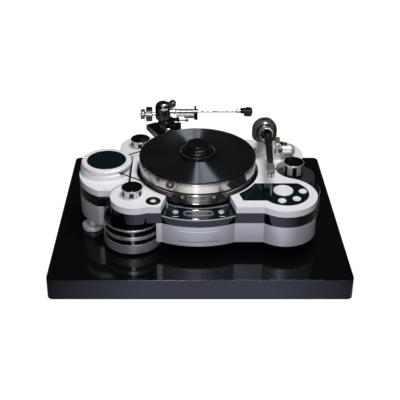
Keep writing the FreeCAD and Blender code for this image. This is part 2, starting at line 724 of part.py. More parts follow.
def pod_solid(name, z0, z1, notch):
    """The pod's outline: a round left side, a flat front and rear, and a notch by the chassis."""
    x, y = at(0, 0)
    tall = z1 - z0
    disc = rod(name + "_disc", d.pod_arc_radius, tall, *at(-d.pod_arc_left, -d.pod_arc_front), z0)
    right = x - pod_edge
    window = block(name + "_window", x - d.pod_arc_left - d.pod_arc_radius - 5, right,
                   y - d.pod_front, y + d.pod_rear, z0, z1)
    body = common(name + "_body", disc, window)
    tools = []
    for place_name, radius in notch.items():
        spots = {
            "front": (-d.front_lobe_left, -d.front_lobe_depth),
            "rear": (-d.rear_lobe_left, d.rear_lobe_depth),
            "front_leg": LEGS["front_left"],
            "rear_leg": LEGS["rear_left"],
        }
        tools.append(rod(f"{name}_{place_name}", radius, tall + 2, *at(*spots[place_name]), z0 - 1))
    return body, tools


def make_pod():
    x, y = at(-pod_left, 0)
    lobes = {"front": d.pod_notch, "rear": d.rear_lobe_radius + 4}
    legs = {"front_leg": d.pod_leg_notch, "rear_leg": d.pod_leg_notch}
    body, tools = pod_solid("pod_lower", chassis_base, middle_base, legs)
    tools.append(rod("pod_motor_space", d.motor_radius + 2, d.lower_height, x, y,
                     chassis_base + 8))
    keep("pod_lower", cut("pod_lower", body, *tools))
    body, tools = pod_solid("pod_middle", middle_base, top_base, lobes)
    tools.append(rod("pod_middle_space", d.motor_radius + 2, d.middle_height + 2, x, y,
                     middle_base - 1))
    keep("pod_middle", cut("pod_middle", body, *tools))
    body, tools = pod_solid("pod_flange", top_base, deck, lobes)
    tools.append(rod("pod_flange_space", d.motor_radius - 12, d.top_thick + 2, x, y, top_base - 1))
    keep("pod_flange", cut("pod_flange", body, *tools))


def make_pod_cap():
    x, y = at(-pod_left, 0)
    wide = d.pod_cap_radius
    top = deck + d.pod_cap_height
    glass = d.pod_glass_radius + d.fit_gap
    drum = d.pod_drum_radius
    inner = drum - d.pod_cap_wall
    drum_top = deck + d.pod_drum_tall
    rim_low = top - 6.5
    shell = turned("cap_shell", [
        (inner, deck), (drum + 0.6, deck), (drum, deck + 1), (drum - 1, drum_top - 1),
        (drum - 2.5, drum_top), (wide - 1, drum_top + 1), (wide - 1, rim_low - 1), (wide, rim_low),
        (wide, top - 3.5), (wide - 1, top - 1.6), (wide - 3.5, top), (glass, top),
        (glass, top - d.pod_glass_thick), (0, top - d.pod_glass_thick), (0, top - 6),
        (wide - d.pod_cap_wall, top - 6), (wide - d.pod_cap_wall, drum_top), (inner, drum_top - 2),
    ], x, y)
    slot = block("cap_slot", x, x + drum + 5, y - d.pod_slot_half, y + d.pod_slot_half,
                 deck + d.pod_slot_low, deck + d.pod_slot_low + d.pod_slot_tall)
    side = at(-pod_edge, 0)[0]
    flat = block("cap_flat", side, side + drum, y - drum, y + drum, deck - 1, drum_top)
    keep("pod_cap", cut("pod_cap", shell, slot, flat))
    glass = turned("pod_cap_glass", [
        (0, top - d.pod_glass_thick), (d.pod_glass_radius, top - d.pod_glass_thick),
        (d.pod_glass_radius, top - 0.5), (d.pod_glass_radius - 0.5, top), (0, top),
    ], x, y)
    keep("pod_cap_glass", glass)


def belt_height():
    """The middle of the belt's groove."""
    return groove_base + d.belt_groove / 2


def make_motor():
    x, y = at(-pod_left, 0)
    middle = belt_height()
    base = chassis_base + 8
    head = middle - d.pulley_tall / 2
    motor = turned("motor", [
        (0, base), (d.motor_radius, base), (d.motor_radius, base + d.motor_tall),
        (12, base + d.motor_tall), (12, base + d.motor_tall + 5),
        (d.motor_shaft, base + d.motor_tall + 5), (d.motor_shaft, head + d.pulley_tall - 3),
        (0, head + d.pulley_tall - 3),
    ], x, y)
    keep("motor", motor)
    rim = d.pulley_radius + 3
    seat = d.pulley_radius
    half = d.belt_groove / 2
    bore = d.motor_shaft + d.running_gap
    pulley = turned("motor_pulley", [
        (bore, head), (rim, head), (rim, middle - half - 0.5), (seat, middle - half),
        (seat, middle + half), (rim, middle + half + 0.5), (rim, head + d.pulley_tall),
        (0, head + d.pulley_tall), (0, head + d.pulley_tall - 2.7),
        (bore, head + d.pulley_tall - 2.7),
    ], x, y)
    keep("motor_pulley", pulley)


def belt_loop(body, big, small, span, first):
    """One closed belt line in a sketch: two arcs about the wheels and the two straight runs."""
    tilt = math.asin((big.value - small.value) / span.value)
    sketch = body.newObject("Sketcher::SketchObject", body.Name + first)
    sketch.AttachmentSupport = (origin_plane(body, "XY_Plane"), [""])
    sketch.MapMode = "FlatFace"
    up = FreeCAD.Vector(0, 0, 1)
    wheel = FreeCAD.Vector(0, 0, 0)
    pulley = FreeCAD.Vector(-span.value, 0, 0)
    lean = math.pi / 2 + tilt

    def rim(centre, radius, angle):
        return centre + FreeCAD.Vector(radius * math.cos(angle), radius * math.sin(angle), 0)

    circles = [Part.Circle(wheel, up, big.value), Part.Circle(pulley, up, small.value)]
    sketch.addGeometry(Part.ArcOfCircle(circles[0], -lean, lean))
    sketch.addGeometry(Part.LineSegment(rim(wheel, big.value, lean),
                                        rim(pulley, small.value, lean)))
    sketch.addGeometry(Part.ArcOfCircle(circles[1], lean, 2 * math.pi - lean))
    sketch.addGeometry(Part.LineSegment(rim(pulley, small.value, -lean),
                                        rim(wheel, big.value, -lean)))
    rules = [
        ("Coincident", 0, 3, -1, 1), ("PointOnObject", 2, 3, -1), ("Tangent", 0, 2, 1, 1),
        ("Tangent", 1, 2, 2, 1), ("Tangent", 2, 2, 3, 1), ("Tangent", 3, 2, 0, 1),
    ]
    for rule in rules:
        sketch.addConstraint(Sketcher.Constraint(*rule))
    for rule, amount in ((("Radius", 0), big), (("Radius", 2), small),
                         (("DistanceX", -1, 1, 2, 3), -span)):
        number = sketch.addConstraint(Sketcher.Constraint(*rule, amount.value))
        sketch.setExpression(f"Constraints[{number}]", amount.text)
    return sketch


def make_belt():
    body = doc.addObject("PartDesign::Body", "drive_belt")
    x, y = at(0, 0)
    place(body, x, y, belt_height() - d.belt_tall / 2)
    near = groove_radius + d.belt_gap
    small = d.pulley_radius + d.belt_gap
    outer = belt_loop(body, near + d.belt_thick, small + d.belt_thick, pod_left, "_outer")
    pad = body.newObject("PartDesign::Pad", "belt_pad")
    pad.Profile = outer
    bind(pad, Length=d.belt_tall)
    inner = belt_loop(body, near, small, pod_left, "_inner")
    pocket = body.newObject("PartDesign::Pocket", "belt_pocket")
    pocket.Profile = inner
    pocket.Type = "ThroughAll"
    pocket.Midplane = True
    body.Tip = pocket
    keep("drive_belt", body)


def make_pod_feet():
    feet = []
    spots = (
        (-pod_left - d.pod_foot_out, -d.pod_foot_front),
        (-pod_left - d.pod_foot_rear_out, d.pod_foot_rear),
        (d.pod_foot_in - pod_left, 0),
    )
    for index, (x, y) in enumerate(spots):
        spot_x, spot_y = at(x, y)
        wide = d.pod_foot_radius
        foot_top = floor + d.pod_foot_tall
        feet.append(turned(f"pod_foot_{index}", [
            (0, floor), (wide - 2, floor), (wide, floor + 2), (wide, foot_top - 1.5),
            (wide - 1.5, foot_top), (d.pod_foot_stem, foot_top), (d.pod_foot_stem, chassis_base),
            (0, chassis_base),
        ], spot_x, spot_y))
    keep("pod_feet", fuse("pod_feet", *feet))


# Platter, bearing, record and clamp

def make_bearing():
    x, y = at(0, 0)
    bore = d.spindle_radius + d.running_gap
    plate = turned("bearing_plate", [
        (d.spindle_radius + 3, bearing_level), (bearing_radius, bearing_level),
        (bearing_radius, bearing_level + d.bearing_thick - 1),
        (bearing_radius - 1, bearing_level + d.bearing_thick),
        (d.spindle_radius + 3, bearing_level + d.bearing_thick),
    ], x, y)
    keep("bearing_plate", plate)
    low = chassis_base + 6
    housing = turned("bearing_housing", [
        (0, low), (d.housing_radius - d.fit_gap, low),
        (d.housing_radius - d.fit_gap, bearing_level), (bore, bearing_level),
        (bore, low + 10), (0, low + 10),
    ], x, y)
    keep("bearing_housing", housing)


def make_platter():
    x, y = at(0, 0)
    hub = d.spindle_radius
    wide = d.platter_radius
    keep("lower_platter", turned("lower_platter", [
        (hub, platter_base), (wide - d.platter_taper, platter_base),
        (wide - d.platter_taper, platter_base + 3), (wide - 0.8, groove_base - 5),
        (wide, groove_base - 4), (wide, groove_base - 1), (wide - 1, groove_base),
        (groove_radius, groove_base), (groove_radius, upper_base), (hub, upper_base),
    ], x, y))
    keep("upper_platter", turned("upper_platter", [
        (hub, upper_base), (wide - 1, upper_base), (wide, upper_base + 1),
        (wide, mat_base - 3.4), (wide - 1.2, mat_base - 2.6), (wide - 1.2, mat_base - 1.8),
        (wide, mat_base - 1), (wide, mat_base), (hub, mat_base),
    ], x, y))
    keep("platter_disc", turned("platter_disc", [
        (d.pin_radius, mat_base), (mat_radius, mat_base), (mat_radius, mat_base + 3),
        (mat_radius - 1, mat_base + d.mat_thick), (d.pin_radius, mat_base + d.mat_thick),
    ], x, y))
    keep("spindle", turned("spindle", [
        (0, chassis_base + d.spindle_tip), (3, chassis_base + d.spindle_tip),
        (hub, chassis_base + d.spindle_tip + d.spindle_cone),
        (hub, mat_base), (d.pin_radius, mat_base), (d.pin_radius, record_top + d.pin_tall - 2),
        (d.pin_radius - 1.6, record_top + d.pin_tall), (0, record_top + d.pin_tall),
    ], x, y))


def make_record():
    x, y = at(0, 0)
    hole = d.pin_radius + d.running_gap
    label = 50
    wide = d.record_radius
    keep("record", turned("record", [
        (hole, record_base), (wide, record_base), (wide, record_top - 0.5),
        (wide - 0.6, record_top), (wide - 4, record_top), (wide - 5, record_top - 0.5),
        (label + 6, record_top - 0.5), (label, record_top), (hole, record_top),
    ], x, y))


def make_clamp():
    x, y = at(0, 0)
    hole = d.pin_radius + d.running_gap
    base = clamp_base
    ring_top = base + d.clamp_ring_tall
    shoulder = base + d.clamp_body_tall
    top = base + d.clamp_tall
    body = d.clamp_body_radius
    keep("clamp_body", turned("clamp_body", [
        (hole, base), (body - 2, base), (body - 2, ring_top - 2), (body, ring_top + 0.3),
        (body, shoulder - 2), (body - 2, shoulder), (d.clamp_step_radius, shoulder),
        (d.clamp_step_radius, shoulder + 4), (d.clamp_neck_radius, shoulder + 5),
        (d.clamp_neck_radius - 1.5, shoulder + 6), (d.clamp_neck_radius - 1.5, shoulder + 9),
        (d.clamp_cap_radius, shoulder + 10), (d.clamp_cap_radius, top - 1),
        (d.clamp_cap_radius - 1, top), (0, top), (0, base + 14), (hole, base + 14),
    ], x, y))
    wide = d.clamp_ring_radius
    ring = turned("clamp_ring_body", [
        (body - 2 + d.running_gap, base), (wide - 1, base), (wide, base + 1),
        (wide, ring_top - 2), (wide - 2, ring_top), (body + 0.6, ring_top),
        (body - 2 + d.running_gap, ring_top - 2.4),
    ], x, y)
    grooves = []
    count = 30
    for index in range(count):
        angle = 2 * math.pi * index / count
        grooves.append(rod(f"clamp_groove_{index}", 2.6, d.clamp_ring_tall + 2,
                           x + (wide + 1.4) * math.cos(angle), y + (wide + 1.4) * math.sin(angle),
                           base - 1))
    keep("clamp_ring", cut("clamp_ring", ring, *grooves))


# Level and air inlets

def make_level():
    x, y = at(-d.level_left, -d.level_depth)
    base = deck - d.level_deep
    wide = d.level_radius
    inner = d.level_radius - d.level_ring
    ring = turned("level_ring", [
        (inner + 0.2, base), (wide, base), (wide, deck + d.level_proud - 1),
        (wide - 1, deck + d.level_proud), (inner + 1, deck + d.level_proud), (inner + 0.2, deck),
    ], x, y)
    keep("level_ring", ring)
    vial = turned("level_vial", [
        (0, base), (inner, base), (inner, deck - 0.4), (inner * 0.6, deck + 0.5), (0, deck + 0.9),
    ], x, y)
    keep("level_vial", vial)


def make_inlets():
    inlets = []
    y = at(0, rear_depth)[1]
    for index in range(2):
        x = at(d.inlet_first + d.inlet_pitch * index, 0)[0]
        turn = FreeCAD.Rotation(FreeCAD.Vector(0, 0, 1), 90)
        inlet = turned(f"air_inlet_{index}", [
            (0, 0), (0, d.inlet_radius + 3), (5, d.inlet_radius + 3), (6, d.inlet_radius),
            (12, d.inlet_radius - 1.4), (12, d.inlet_radius), (d.inlet_long, d.inlet_radius - 2),
            (d.inlet_long, 1.5), (4, 1.5), (4, 0),
        ], 0, 0, 0, "H_Axis")
        inlets.append(place(inlet, x, y, chassis_base + d.inlet_height, turn))
    keep("air_inlets", fuse("air_inlets", *inlets))


# Tonearms. Each is drawn pointing along X from its pivot and then turned into place.

ARMS = {
    "left": {
        "x": -d.left_pivot_left, "y": d.left_pivot_rear, "turn": d.arm_turn_left,
        "seat": deck + d.board_thick, "flange": d.left_flange_radius,
        "column": d.left_column_radius, "bell": d.left_bell_radius, "top": d.left_bell_top,
        "round": d.left_bell_round, "back": d.left_bell_back, "side": size(0),
        "neck": d.left_thick_radius, "thick": d.left_thick_radius,
        "tip": d.left_thin_radius + d.tip_collar, "tip_end": d.left_thin_end,
        "shell": (d.shell_start, d.shell_long, d.shell_wide, d.shell_above),
        "cartridge": d.left_cartridge_tall,
    },
    "right": {
        "x": d.right_pivot_right, "y": d.right_pivot_rear, "turn": d.arm_turn_right,
        "seat": deck, "flange": d.right_flange_radius,
        "column": d.right_column_radius, "bell": d.right_bell_radius, "top": d.right_bell_top,
        "round": d.right_bell_round, "back": size(0), "side": d.right_bell_side,
        "neck": d.right_neck_radius, "thick": d.right_root_radius,
        "tip": d.right_tip_radius - d.tip_collar, "tip_end": d.right_wand_end,
        "shell": (d.right_shell_start, d.right_shell_long, d.right_shell_wide,
                  d.right_shell_above),
        "cartridge": d.right_cartridge_tall,
    },
}


def stand(side, thing):
    """Puts a piece drawn about the arm's pivot into its place."""
    arm = ARMS[side]
    x, y = at(arm["x"], arm["y"])
    turn = FreeCAD.Rotation(FreeCAD.Vector(0, 0, 1), arm["turn"].value)
    return place(thing, x, y, 0, turn)


def make_board():
    """The bronze board that carries the left arm behind the platter."""
    x, y = at(0, 0)
    left, right = -d.left_pivot_left - d.board_left, d.board_right - d.left_pivot_left
    rear = d.left_pivot_rear + d.board_rear
    board = padded("left_arm_board", [
        (left - d.board_wing, rear - d.board_slant), (left, rear_depth - d.board_seat),
        (right - d.board_notch, rear_depth - d.board_notch_seat),
        (right, rear_depth - d.board_side_seat), (right, rear), (left - d.board_nose, rear),
    ], deck, d.board_thick, x, y)
    keep("left_arm_board", body_chamfer(board, d.board_chamfer))


def body_chamfer(body, width):
    """Chamfers the upper edges of a padded body."""
    pad = body.Tip
    doc.recompute()
    top = pad.Shape.BoundBox.ZMax
    names = edges(pad, lambda edge, middle: middle.z > top - 0.01 and
                  abs(edge.tangentAt(edge.FirstParameter).z) < 0.1)
    cutoff = body.newObject("PartDesign::Chamfer", body.Name + "_chamfer")
    cutoff.Base = (pad, names)
    bind(cutoff, Size=width)
    body.Tip = cutoff
    return body


def rest_near(side):
    """Where the arm's rest starts: clear of the bell."""
    return d.rest_near + ARMS[side]["bell"] - d.left_bell_radius


def make_pillar(side):
    arm = ARMS[side]
    seat = arm["seat"]
    top = floor + d.bell_base - 1
    bore = d.arm_shaft + d.running_gap
    wide, column = arm["flange"], arm["column"]
    flange_top = seat + d.flange_thick
    post = turned(side + "_pillar_body", [
        (0, seat), (wide - 1, seat), (wide, seat + 1), (wide, flange_top - 1),
        (wide - 1, flange_top), (column + 4, flange_top), (column + 3, flange_top + 3),
        (column, flange_top + 5), (column, top - 7), (column - 3, top - 6), (column - 3, top - 4),
        (column - 1, top - 3), (column - 1, top - 1), (column - 2, top), (bore, top),
        (bore, seat + 3), (0, seat + 3),
    ])
    near, far, y = rest_near(side), d.rest_far, d.rest_side
    level = arm_level - d.rest_drop
    half = d.rest_radius + 0.2
    low = level - half - d.rest_plate
    clip_top = arm_level - arm["thick"] - d.rest_clear
    pieces = [
        post,
        block(side + "_strut", column - 4, near + 7, y - half, y + half, low - 10, low - 3),
        block(side + "_riser", near, near + 7, y - half, y + half, low - 10, level),
        rod(side + "_rest_tube", d.rest_radius, far - near - 4, near + 2, y, level, ALONG_X),
        block(side + "_rest_plate", far - d.rest_plate_long, far, y - half, y + half,
              low, low + d.rest_plate),
        block(side + "_rest_clip", far - d.rest_clip, far, -6, y + half, low, clip_top),
        block(side + "_prong", far - d.rest_clip, far - 4, d.prong_side, y + half - 0.4, low,
              arm_level + d.prong_rise),
    ]
    if side == "right":
        keep("right_arm_pillar", fuse("right_arm_pillar", stand(side, fuse("right_pillar", *pieces)),
                                      *cue_post(), *barrel_housing()))
        return
    keep("left_arm_pillar", stand(side, fuse("left_arm_pillar", *pieces)))


def cue_post():
    """The post of the right arm's lift: a turned disc, and a square head above it."""
    x, y = at(d.cue_post_right, d.cue_post_rear)
    disc = floor + d.cue_disc_height
    disc_top = disc + d.cue_disc_thick
    wide = d.cue_disc_radius
    half = d.cue_block_wide / 2
    post = turned("cue_post", [
        (0, deck + 6), (d.cue_post_radius, deck + 6), (d.cue_post_radius, disc), (wide - 1, disc),
        (wide, disc + 1), (wide, disc_top - 1), (wide - 1, disc_top), (0, disc_top),
    ], x, y)
    head = block("cue_head", x - half, x + half, y - half, y + half, disc_top - 1,
                 disc_top + d.cue_block_tall)
    lug = block("cue_lug", x + wide - 3, x + wide + 6, y + 2, y + 6, disc + 0.5, disc_top - 0.5)
    return post, head, lug


def barrel_housing():
    """What carries the barrel knob: a housing on the deck, the knob's shaft and a guide rod."""
    x, y = at(0, d.barrel_depth)
    level = deck + d.barrel_height
    inside = d.right_pivot_right + d.right_column_radius / 2
    end = d.barrel_start - 0.5
    housing = block("barrel_housing", x + inside, x + d.barrel_start - 2, y - 13, y + 12, deck,
                    deck + d.housing_tall)
    shaft = rod("barrel_shaft", d.barrel_shaft, d.barrel_start + 19.5 - inside, x + inside, y, level,
                ALONG_X)
    guide = rod("barrel_guide", d.guide_radius, end - inside, x + inside, y, level + d.guide_rise,
                ALONG_X)
    return housing, shaft, guide


def dome(name, radius, z0, z1, top_round, foot_round, x, y):
    """A drum with a rounded top and a smaller round at its foot."""
    body = turned(name, [(0, z0), (radius, z0), (radius, z1), (0, z1)], x, y)
    for z, amount, part in ((z1, top_round, "top"), (z0, foot_round, "foot")):
        sharp = body.Tip
        rim = edges(sharp, lambda edge, middle: abs(middle.z - size(z).value) < 0.01 and
                    abs(edge.BoundBox.ZLength) < 0.01 and
                    abs(math.hypot(middle.x, middle.y) - size(radius).value) < 0.01)
        soft = body.newObject("PartDesign::Fillet", f"{name}_{part}")
        soft.Base = (sharp, rim)
        bind(soft, Radius=amount)
        body.Tip = soft
    return body


def make_bell(side):
    """The bell over an arm's bearings. It turns on the pillar and carries the wand's pin."""
    arm = ARMS[side]
    wide, wall = arm["bell"], d.bell_wall
    base, top = floor + d.bell_base, floor + arm["top"]
    x, y = -arm["back"], -arm["side"]
    outer = dome(side + "_dome", wide, base, top, arm["round"], d.bell_foot_round, x, y)
    hollow = dome(side + "_hollow", wide - wall, base + d.bell_floor, top - wall,
                  arm["round"] - wall, d.bell_foot_round - wall, x, y)
    neck = arm["neck"] + d.opening_gap
    stub = d.stub_radius + d.opening_gap
    stub_level = arm_level - d.stub_drop
    opening = block(side + "_opening", 0, d.collar_floor + 1, -neck, neck, arm_level - neck,
                    arm_level + neck + 2.5)
    rear = block(side + "_rear_opening", -wide * 2, 0, -stub, stub, stub_level - stub - 3,
                 stub_level + stub + 2)
    shaft_low = arm["seat"] + 6
    shaft = rod(side + "_shaft", d.arm_shaft, base + d.bell_floor - shaft_low, 0, 0, shaft_low)
    half = root(wide * wide - arm["back"] * arm["back"]) - 1.3
    pin = rod(side + "_pin", d.arm_pin, half * 2, 0, y - half, arm_level, ALONG_Y)
    if side == "left":
        body = cut("left_bell_open", fuse("left_bell_shell", cut("left_shell", outer, hollow),
                                          bell_neck()), opening, rear)
        extras = [bell_drum()]
    else:
        ring, bore, plate, cup = bell_collar()
        shell = cut("right_shell", outer, hollow, bore)
        body = cut("right_bell_open", fuse("right_bell_shell", shell, ring, plate), opening, rear)
        extras = [cup]
    keep(side + "_arm_bell", stand(side, fuse(side + "_arm_bell", body, shaft, pin, *extras)))


def bell_neck():
    """The solid neck between the left bell and the drum on its front."""
    return block("left_head_neck", 2, d.head_reach, 2 - d.head_front, d.head_rear - 1,
                 arm_level + d.left_thick_radius + 4.5, floor + d.head_height + 3)


def bell_drum():
    """The small drum across the front of the left bell, with a dished face."""
    wide = d.head_radius
    long = d.head_front + d.head_rear
    drum = turned("left_head_drum", [
        (0, 0), (0, wide - 1), (1, wide), (long - 1, wide), (long, wide - 1), (long, wide - 2.8),
        (long - 2, wide - 3.6), (long - 2, 0),
    ], 0, 0, 0, "H_Axis")
    turn = FreeCAD.Rotation(FreeCAD.Vector(0, 0, 1), -90)
    return place(drum, d.head_reach, d.head_rear, floor + d.head_height, turn)


def bell_collar():
    """The ring round the right wand's root: ring, bore, the plate inside it and a pivot cup."""
    y, level = -d.collar_side, floor + d.collar_height
    wide = d.collar_radius
    inner = wide - d.collar_wall
    front, back = d.collar_reach, d.collar_floor
    ring = turned("right_collar", [
        (back - 6, inner), (back - 6, wide), (front - 1.5, wide), (front, wide - 1.5),
        (front, inner + 0.8), (front - 0.8, inner),
    ], 0, y, level, "H_Axis")
    bore = rod("right_collar_bore", inner, 20, back, y, level, ALONG_X)
    plate = rod("right_collar_plate", inner + 1, 5, back - 5, y, level, ALONG_X)
    small = d.cup_radius
    cup = turned("right_pivot_cup", [
        (back - 3, 0), (back - 3, small), (d.cup_reach - 0.8, small), (d.cup_reach, small - 0.8),
        (d.cup_reach, small - 2), (d.cup_reach - 1.5, small - 2.6), (d.cup_reach - 1.5, 0),
    ], 0, -d.cup_side, arm_level + d.cup_rise, "H_Axis")
    return ring, bore, plate, cup


def make_wand(side):
    arm = ARMS[side]
    pin_hole = rod(side + "_pin_hole", d.arm_pin + d.running_gap, d.pin_reach * 2, 0,
                   -d.pin_reach, arm_level, ALONG_Y)
    stub_level = arm_level - d.stub_drop
    hub = block(side + "_hub", -d.hub_back, d.hub_front, -d.hub_half, d.hub_half, stub_level - 5,
                arm_level + d.hub_above)
    stub = turned(side + "_stub", [
        (-d.stub_long, 0), (-d.stub_long, d.stub_radius - 1), (1 - d.stub_long, d.stub_radius),
        (-5, d.stub_radius), (-5, 0),
    ], 0, 0, stub_level, "H_Axis")
    if side == "left":
        thick, thin, end = d.left_thick_radius, d.left_thin_radius, d.left_thick_end
        ring, root_ring, tip = thick + d.wand_ring, d.root_ring_start, d.left_thin_end
        tube = turned("left_tube", [
            (2, 0), (2, thick), (root_ring, thick), (root_ring, ring + 0.6),
            (root_ring + d.root_ring_long, ring + 0.6), (root_ring + d.root_ring_long + 0.8, thick),
            (end, thick), (end, ring), (end + 4, ring), (end + 5, ring - 1), (end + 6, thin),
            (tip - 12, thin), (tip - 11, arm["tip"]), (tip, arm["tip"]), (tip, 0),
        ], 0, 0, arm_level, "H_Axis")
    else:
        neck, root_radius, tip = d.right_neck_radius, d.right_root_radius, d.right_wand_end
        start = d.right_bell_radius
        tube = turned("right_tube", [
            (2, 0), (2, neck), (start + 1, neck), (start + 2.5, root_radius - 0.8),
            (start + 4, root_radius), (tip - 12, d.right_tip_radius), (tip - 11, arm["tip"]),
            (tip, arm["tip"]), (tip, 0),
        ], 0, 0, arm_level, "H_Axis")
    body = fuse(side + "_wand_body", hub, stub, tube)
    keep(side + "_arm_wand", stand(side, cut(side + "_arm_wand", body, pin_hole)))


def make_headshell(side):
    arm = ARMS[side]
    start, long, wide, above = arm["shell"]
    half = wide / 2
    low = arm_level - d.shell_below
    high = arm_level + above
    end = start + long
    body = padded(side + "_shell_body", [
        (start, -half * 0.7), (start + 8, -half), (end, -half), (end, half), (start + 8, half),
        (start, half * 0.7),
    ], low, high - low)
    body = body_chamfer(body, 1.5)
    finger = turned(side + "_finger", [
        (end - 16, 0), (end - 16, 1.3), (end - 4, 1.3), (end - 4, 0),
    ], 0, half + 5, high - 2, "H_Axis")
    link = block(side + "_finger_link", end - 16, end - 11, half - 1, half + 5,
                 high - 3.2, high - 0.8)
    socket = rod(side + "_socket", arm["tip"] + 0.1, arm["tip_end"] - start + 6, start - 6, 0,
                 arm_level, ALONG_X)
    keep(side + "_headshell",
         stand(side, cut(side + "_headshell", fuse(side + "_shell", body, finger, link), socket)))


def make_cartridge(side):
    arm = ARMS[side]
    start, long, wide, above = arm["shell"]
    front = start + long - 1
    rear = front - d.cartridge_long
    half = d.cartridge_wide / 2
    top = arm_level - d.shell_below
    low = top - arm["cartridge"]
    tip = floor + d.stylus_height
    body = padded(side + "_cartridge_body", [
        (rear, -half + 2), (rear + 3, -half), (front - 5, -half), (front, -half + 4),
        (front, half - 4), (front - 5, half), (rear + 3, half), (rear, half - 2),
    ], low, top - low)
    stylus = turned(side + "_stylus", [
        (0, tip), (0.5, tip + 1), (0.9, low + 0.5), (0, low + 0.5),
    ], front - 5, 0)
    lever = block(side + "_cantilever", front - 14, front - 4.5, -0.8, 0.8, low - 1.6, low + 0.5)
    keep(side + "_cartridge", stand(side, fuse(side + "_cartridge", body, lever, stylus)))


def make_weights(side):
    level = arm_level - d.stub_drop
    bore = d.stub_radius + d.running_gap
    pieces = []
    for name, near, long, wide in (
            ("main", d.weight_near, d.weight_long, d.weight_radius),
            ("end", d.end_weight_near, d.end_weight_long, d.end_weight_radius)):
        pieces.append(turned(f"{side}_{name}_weight", [
            (-near, bore), (-near, wide - 1), (-near - 1, wide), (1 - near - long, wide),
            (-near - long, wide - 1), (-near - long, bore),
        ], 0, 0, level, "H_Axis"))
    bridge = turned(side + "_weight_bridge", [
        (-d.weight_near - d.weight_long, bore), (-d.weight_near - d.weight_long, bore + 1.6),
        (-d.end_weight_near, bore + 1.6), (-d.end_weight_near, bore),
    ], 0, 0, level, "H_Axis")
    keep(side + "_counterweight", stand(side, fuse(side + "_counterweight", bridge, *pieces)))


def lever_solid(side, x, y, z, long, hub_long):
    """A cue lever that points along X from its hub, with a knob at its end."""
    hub = rod(side + "_lever_hub", d.lever_hub, hub_long, x, y, z, ALONG_Y)
    knob = d.lever_knob
    arm = turned(side + "_lever_arm", [
        (0, 0), (0, d.lever_radius), (long - 6, d.lever_radius), (long - 5, knob - 0.6),
        (long - 4, knob), (long + 1, knob), (long + 3, knob - 1.5), (long + 3, 0),
    ], x, y + hub_long / 2, z, "H_Axis")
    return fuse(side + "_cue_lever", hub, arm)


def make_levers():
    """The left lever hangs on its rest's riser, the right one on the lug of the cue post."""
    hub_long = 8
    x = rest_near("left") + d.lever_out
    y = d.rest_side - d.rest_radius - 0.2 - d.fit_gap - hub_long
    left = lever_solid("left", x, y, floor + d.lever_height, d.lever_long, hub_long)
    keep("left_cue_lever", stand("left", left))
    hub_long = 5
    x, y = at(d.cue_post_right, d.cue_post_rear)
    x = x + d.cue_disc_radius + d.lever_hub + d.fit_gap
    z = floor + d.cue_disc_height + d.cue_disc_thick / 2 + 1
    right = lever_solid("right", x, y + 2 - d.fit_gap - hub_long, z, d.cue_lever_long, hub_long)
    keep("right_cue_lever", right)


def make_barrel():
    """The large knob beside the right arm, on its shaft."""
    x, y = at(0, d.barrel_depth)
    start, end, wide = d.barrel_start, d.barrel_start + d.barrel_long, d.barrel_radius
    bore = d.barrel_shaft + d.running_gap
    keep("height_knob", turned("height_knob", [
        (start, bore), (start, wide - 1), (start + 1, wide), (end - 11, wide), (end - 6, wide - 1.4),
        (end - 2.5, wide - 4.6), (end, wide - 9), (end, 0), (start + 20, 0), (start + 20, bore),
    ], x, y, deck + d.barrel_height, "H_Axis"))


def build():
    make_plinth()
    make_lower_chassis()
    make_nameplate()
    make_middle_chassis()
    make_top_plate()
    make_front_panel()
    make_display()
    make_front_keys()
    make_side_panel()
    make_legs()
    make_knobs()
    make_pod()
    make_pod_cap()
    make_motor()
    make_belt()
    make_pod_feet()
    make_bearing()
    make_platter()
    make_record()
    make_clamp()
    make_level()
    make_inlets()
    make_board()
    for side in ARMS:
        make_pillar(side)
        make_bell(side)
        make_wand(side)
        make_headshell(side)
        make_cartridge(side)
        make_weights(side)
    make_levers()
    make_barrel()


build()
doc.recompute()

# Every object is sound before anything is written.
for thing in doc.Objects:
    if "Invalid" in thing.State or "Error" in thing.State:
        raise RuntimeError(f"{thing.Label} did not compute: {thing.State}")
for label, thing in made.items():
    shape = thing.Shape
    if shape.isNull() or not shape.isValid() or not shape.Solids:
        raise RuntimeError(f"{label} has no sound solid")
for label, thing in made.items():
    thing.Shape.exportStep(f"parts/{label}.step")
print("pieces", len(made))
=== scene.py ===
# %% [markdown]
# # An air bearing turntable on a black slab
#
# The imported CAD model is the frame: it holds every size and every joint. This script only
# dresses it. It gives each solid the finish of the real one, adds the fine pieces that a
# solid modeller leaves out, and lights the whole as a product photograph.

# %% Load the frame
import math

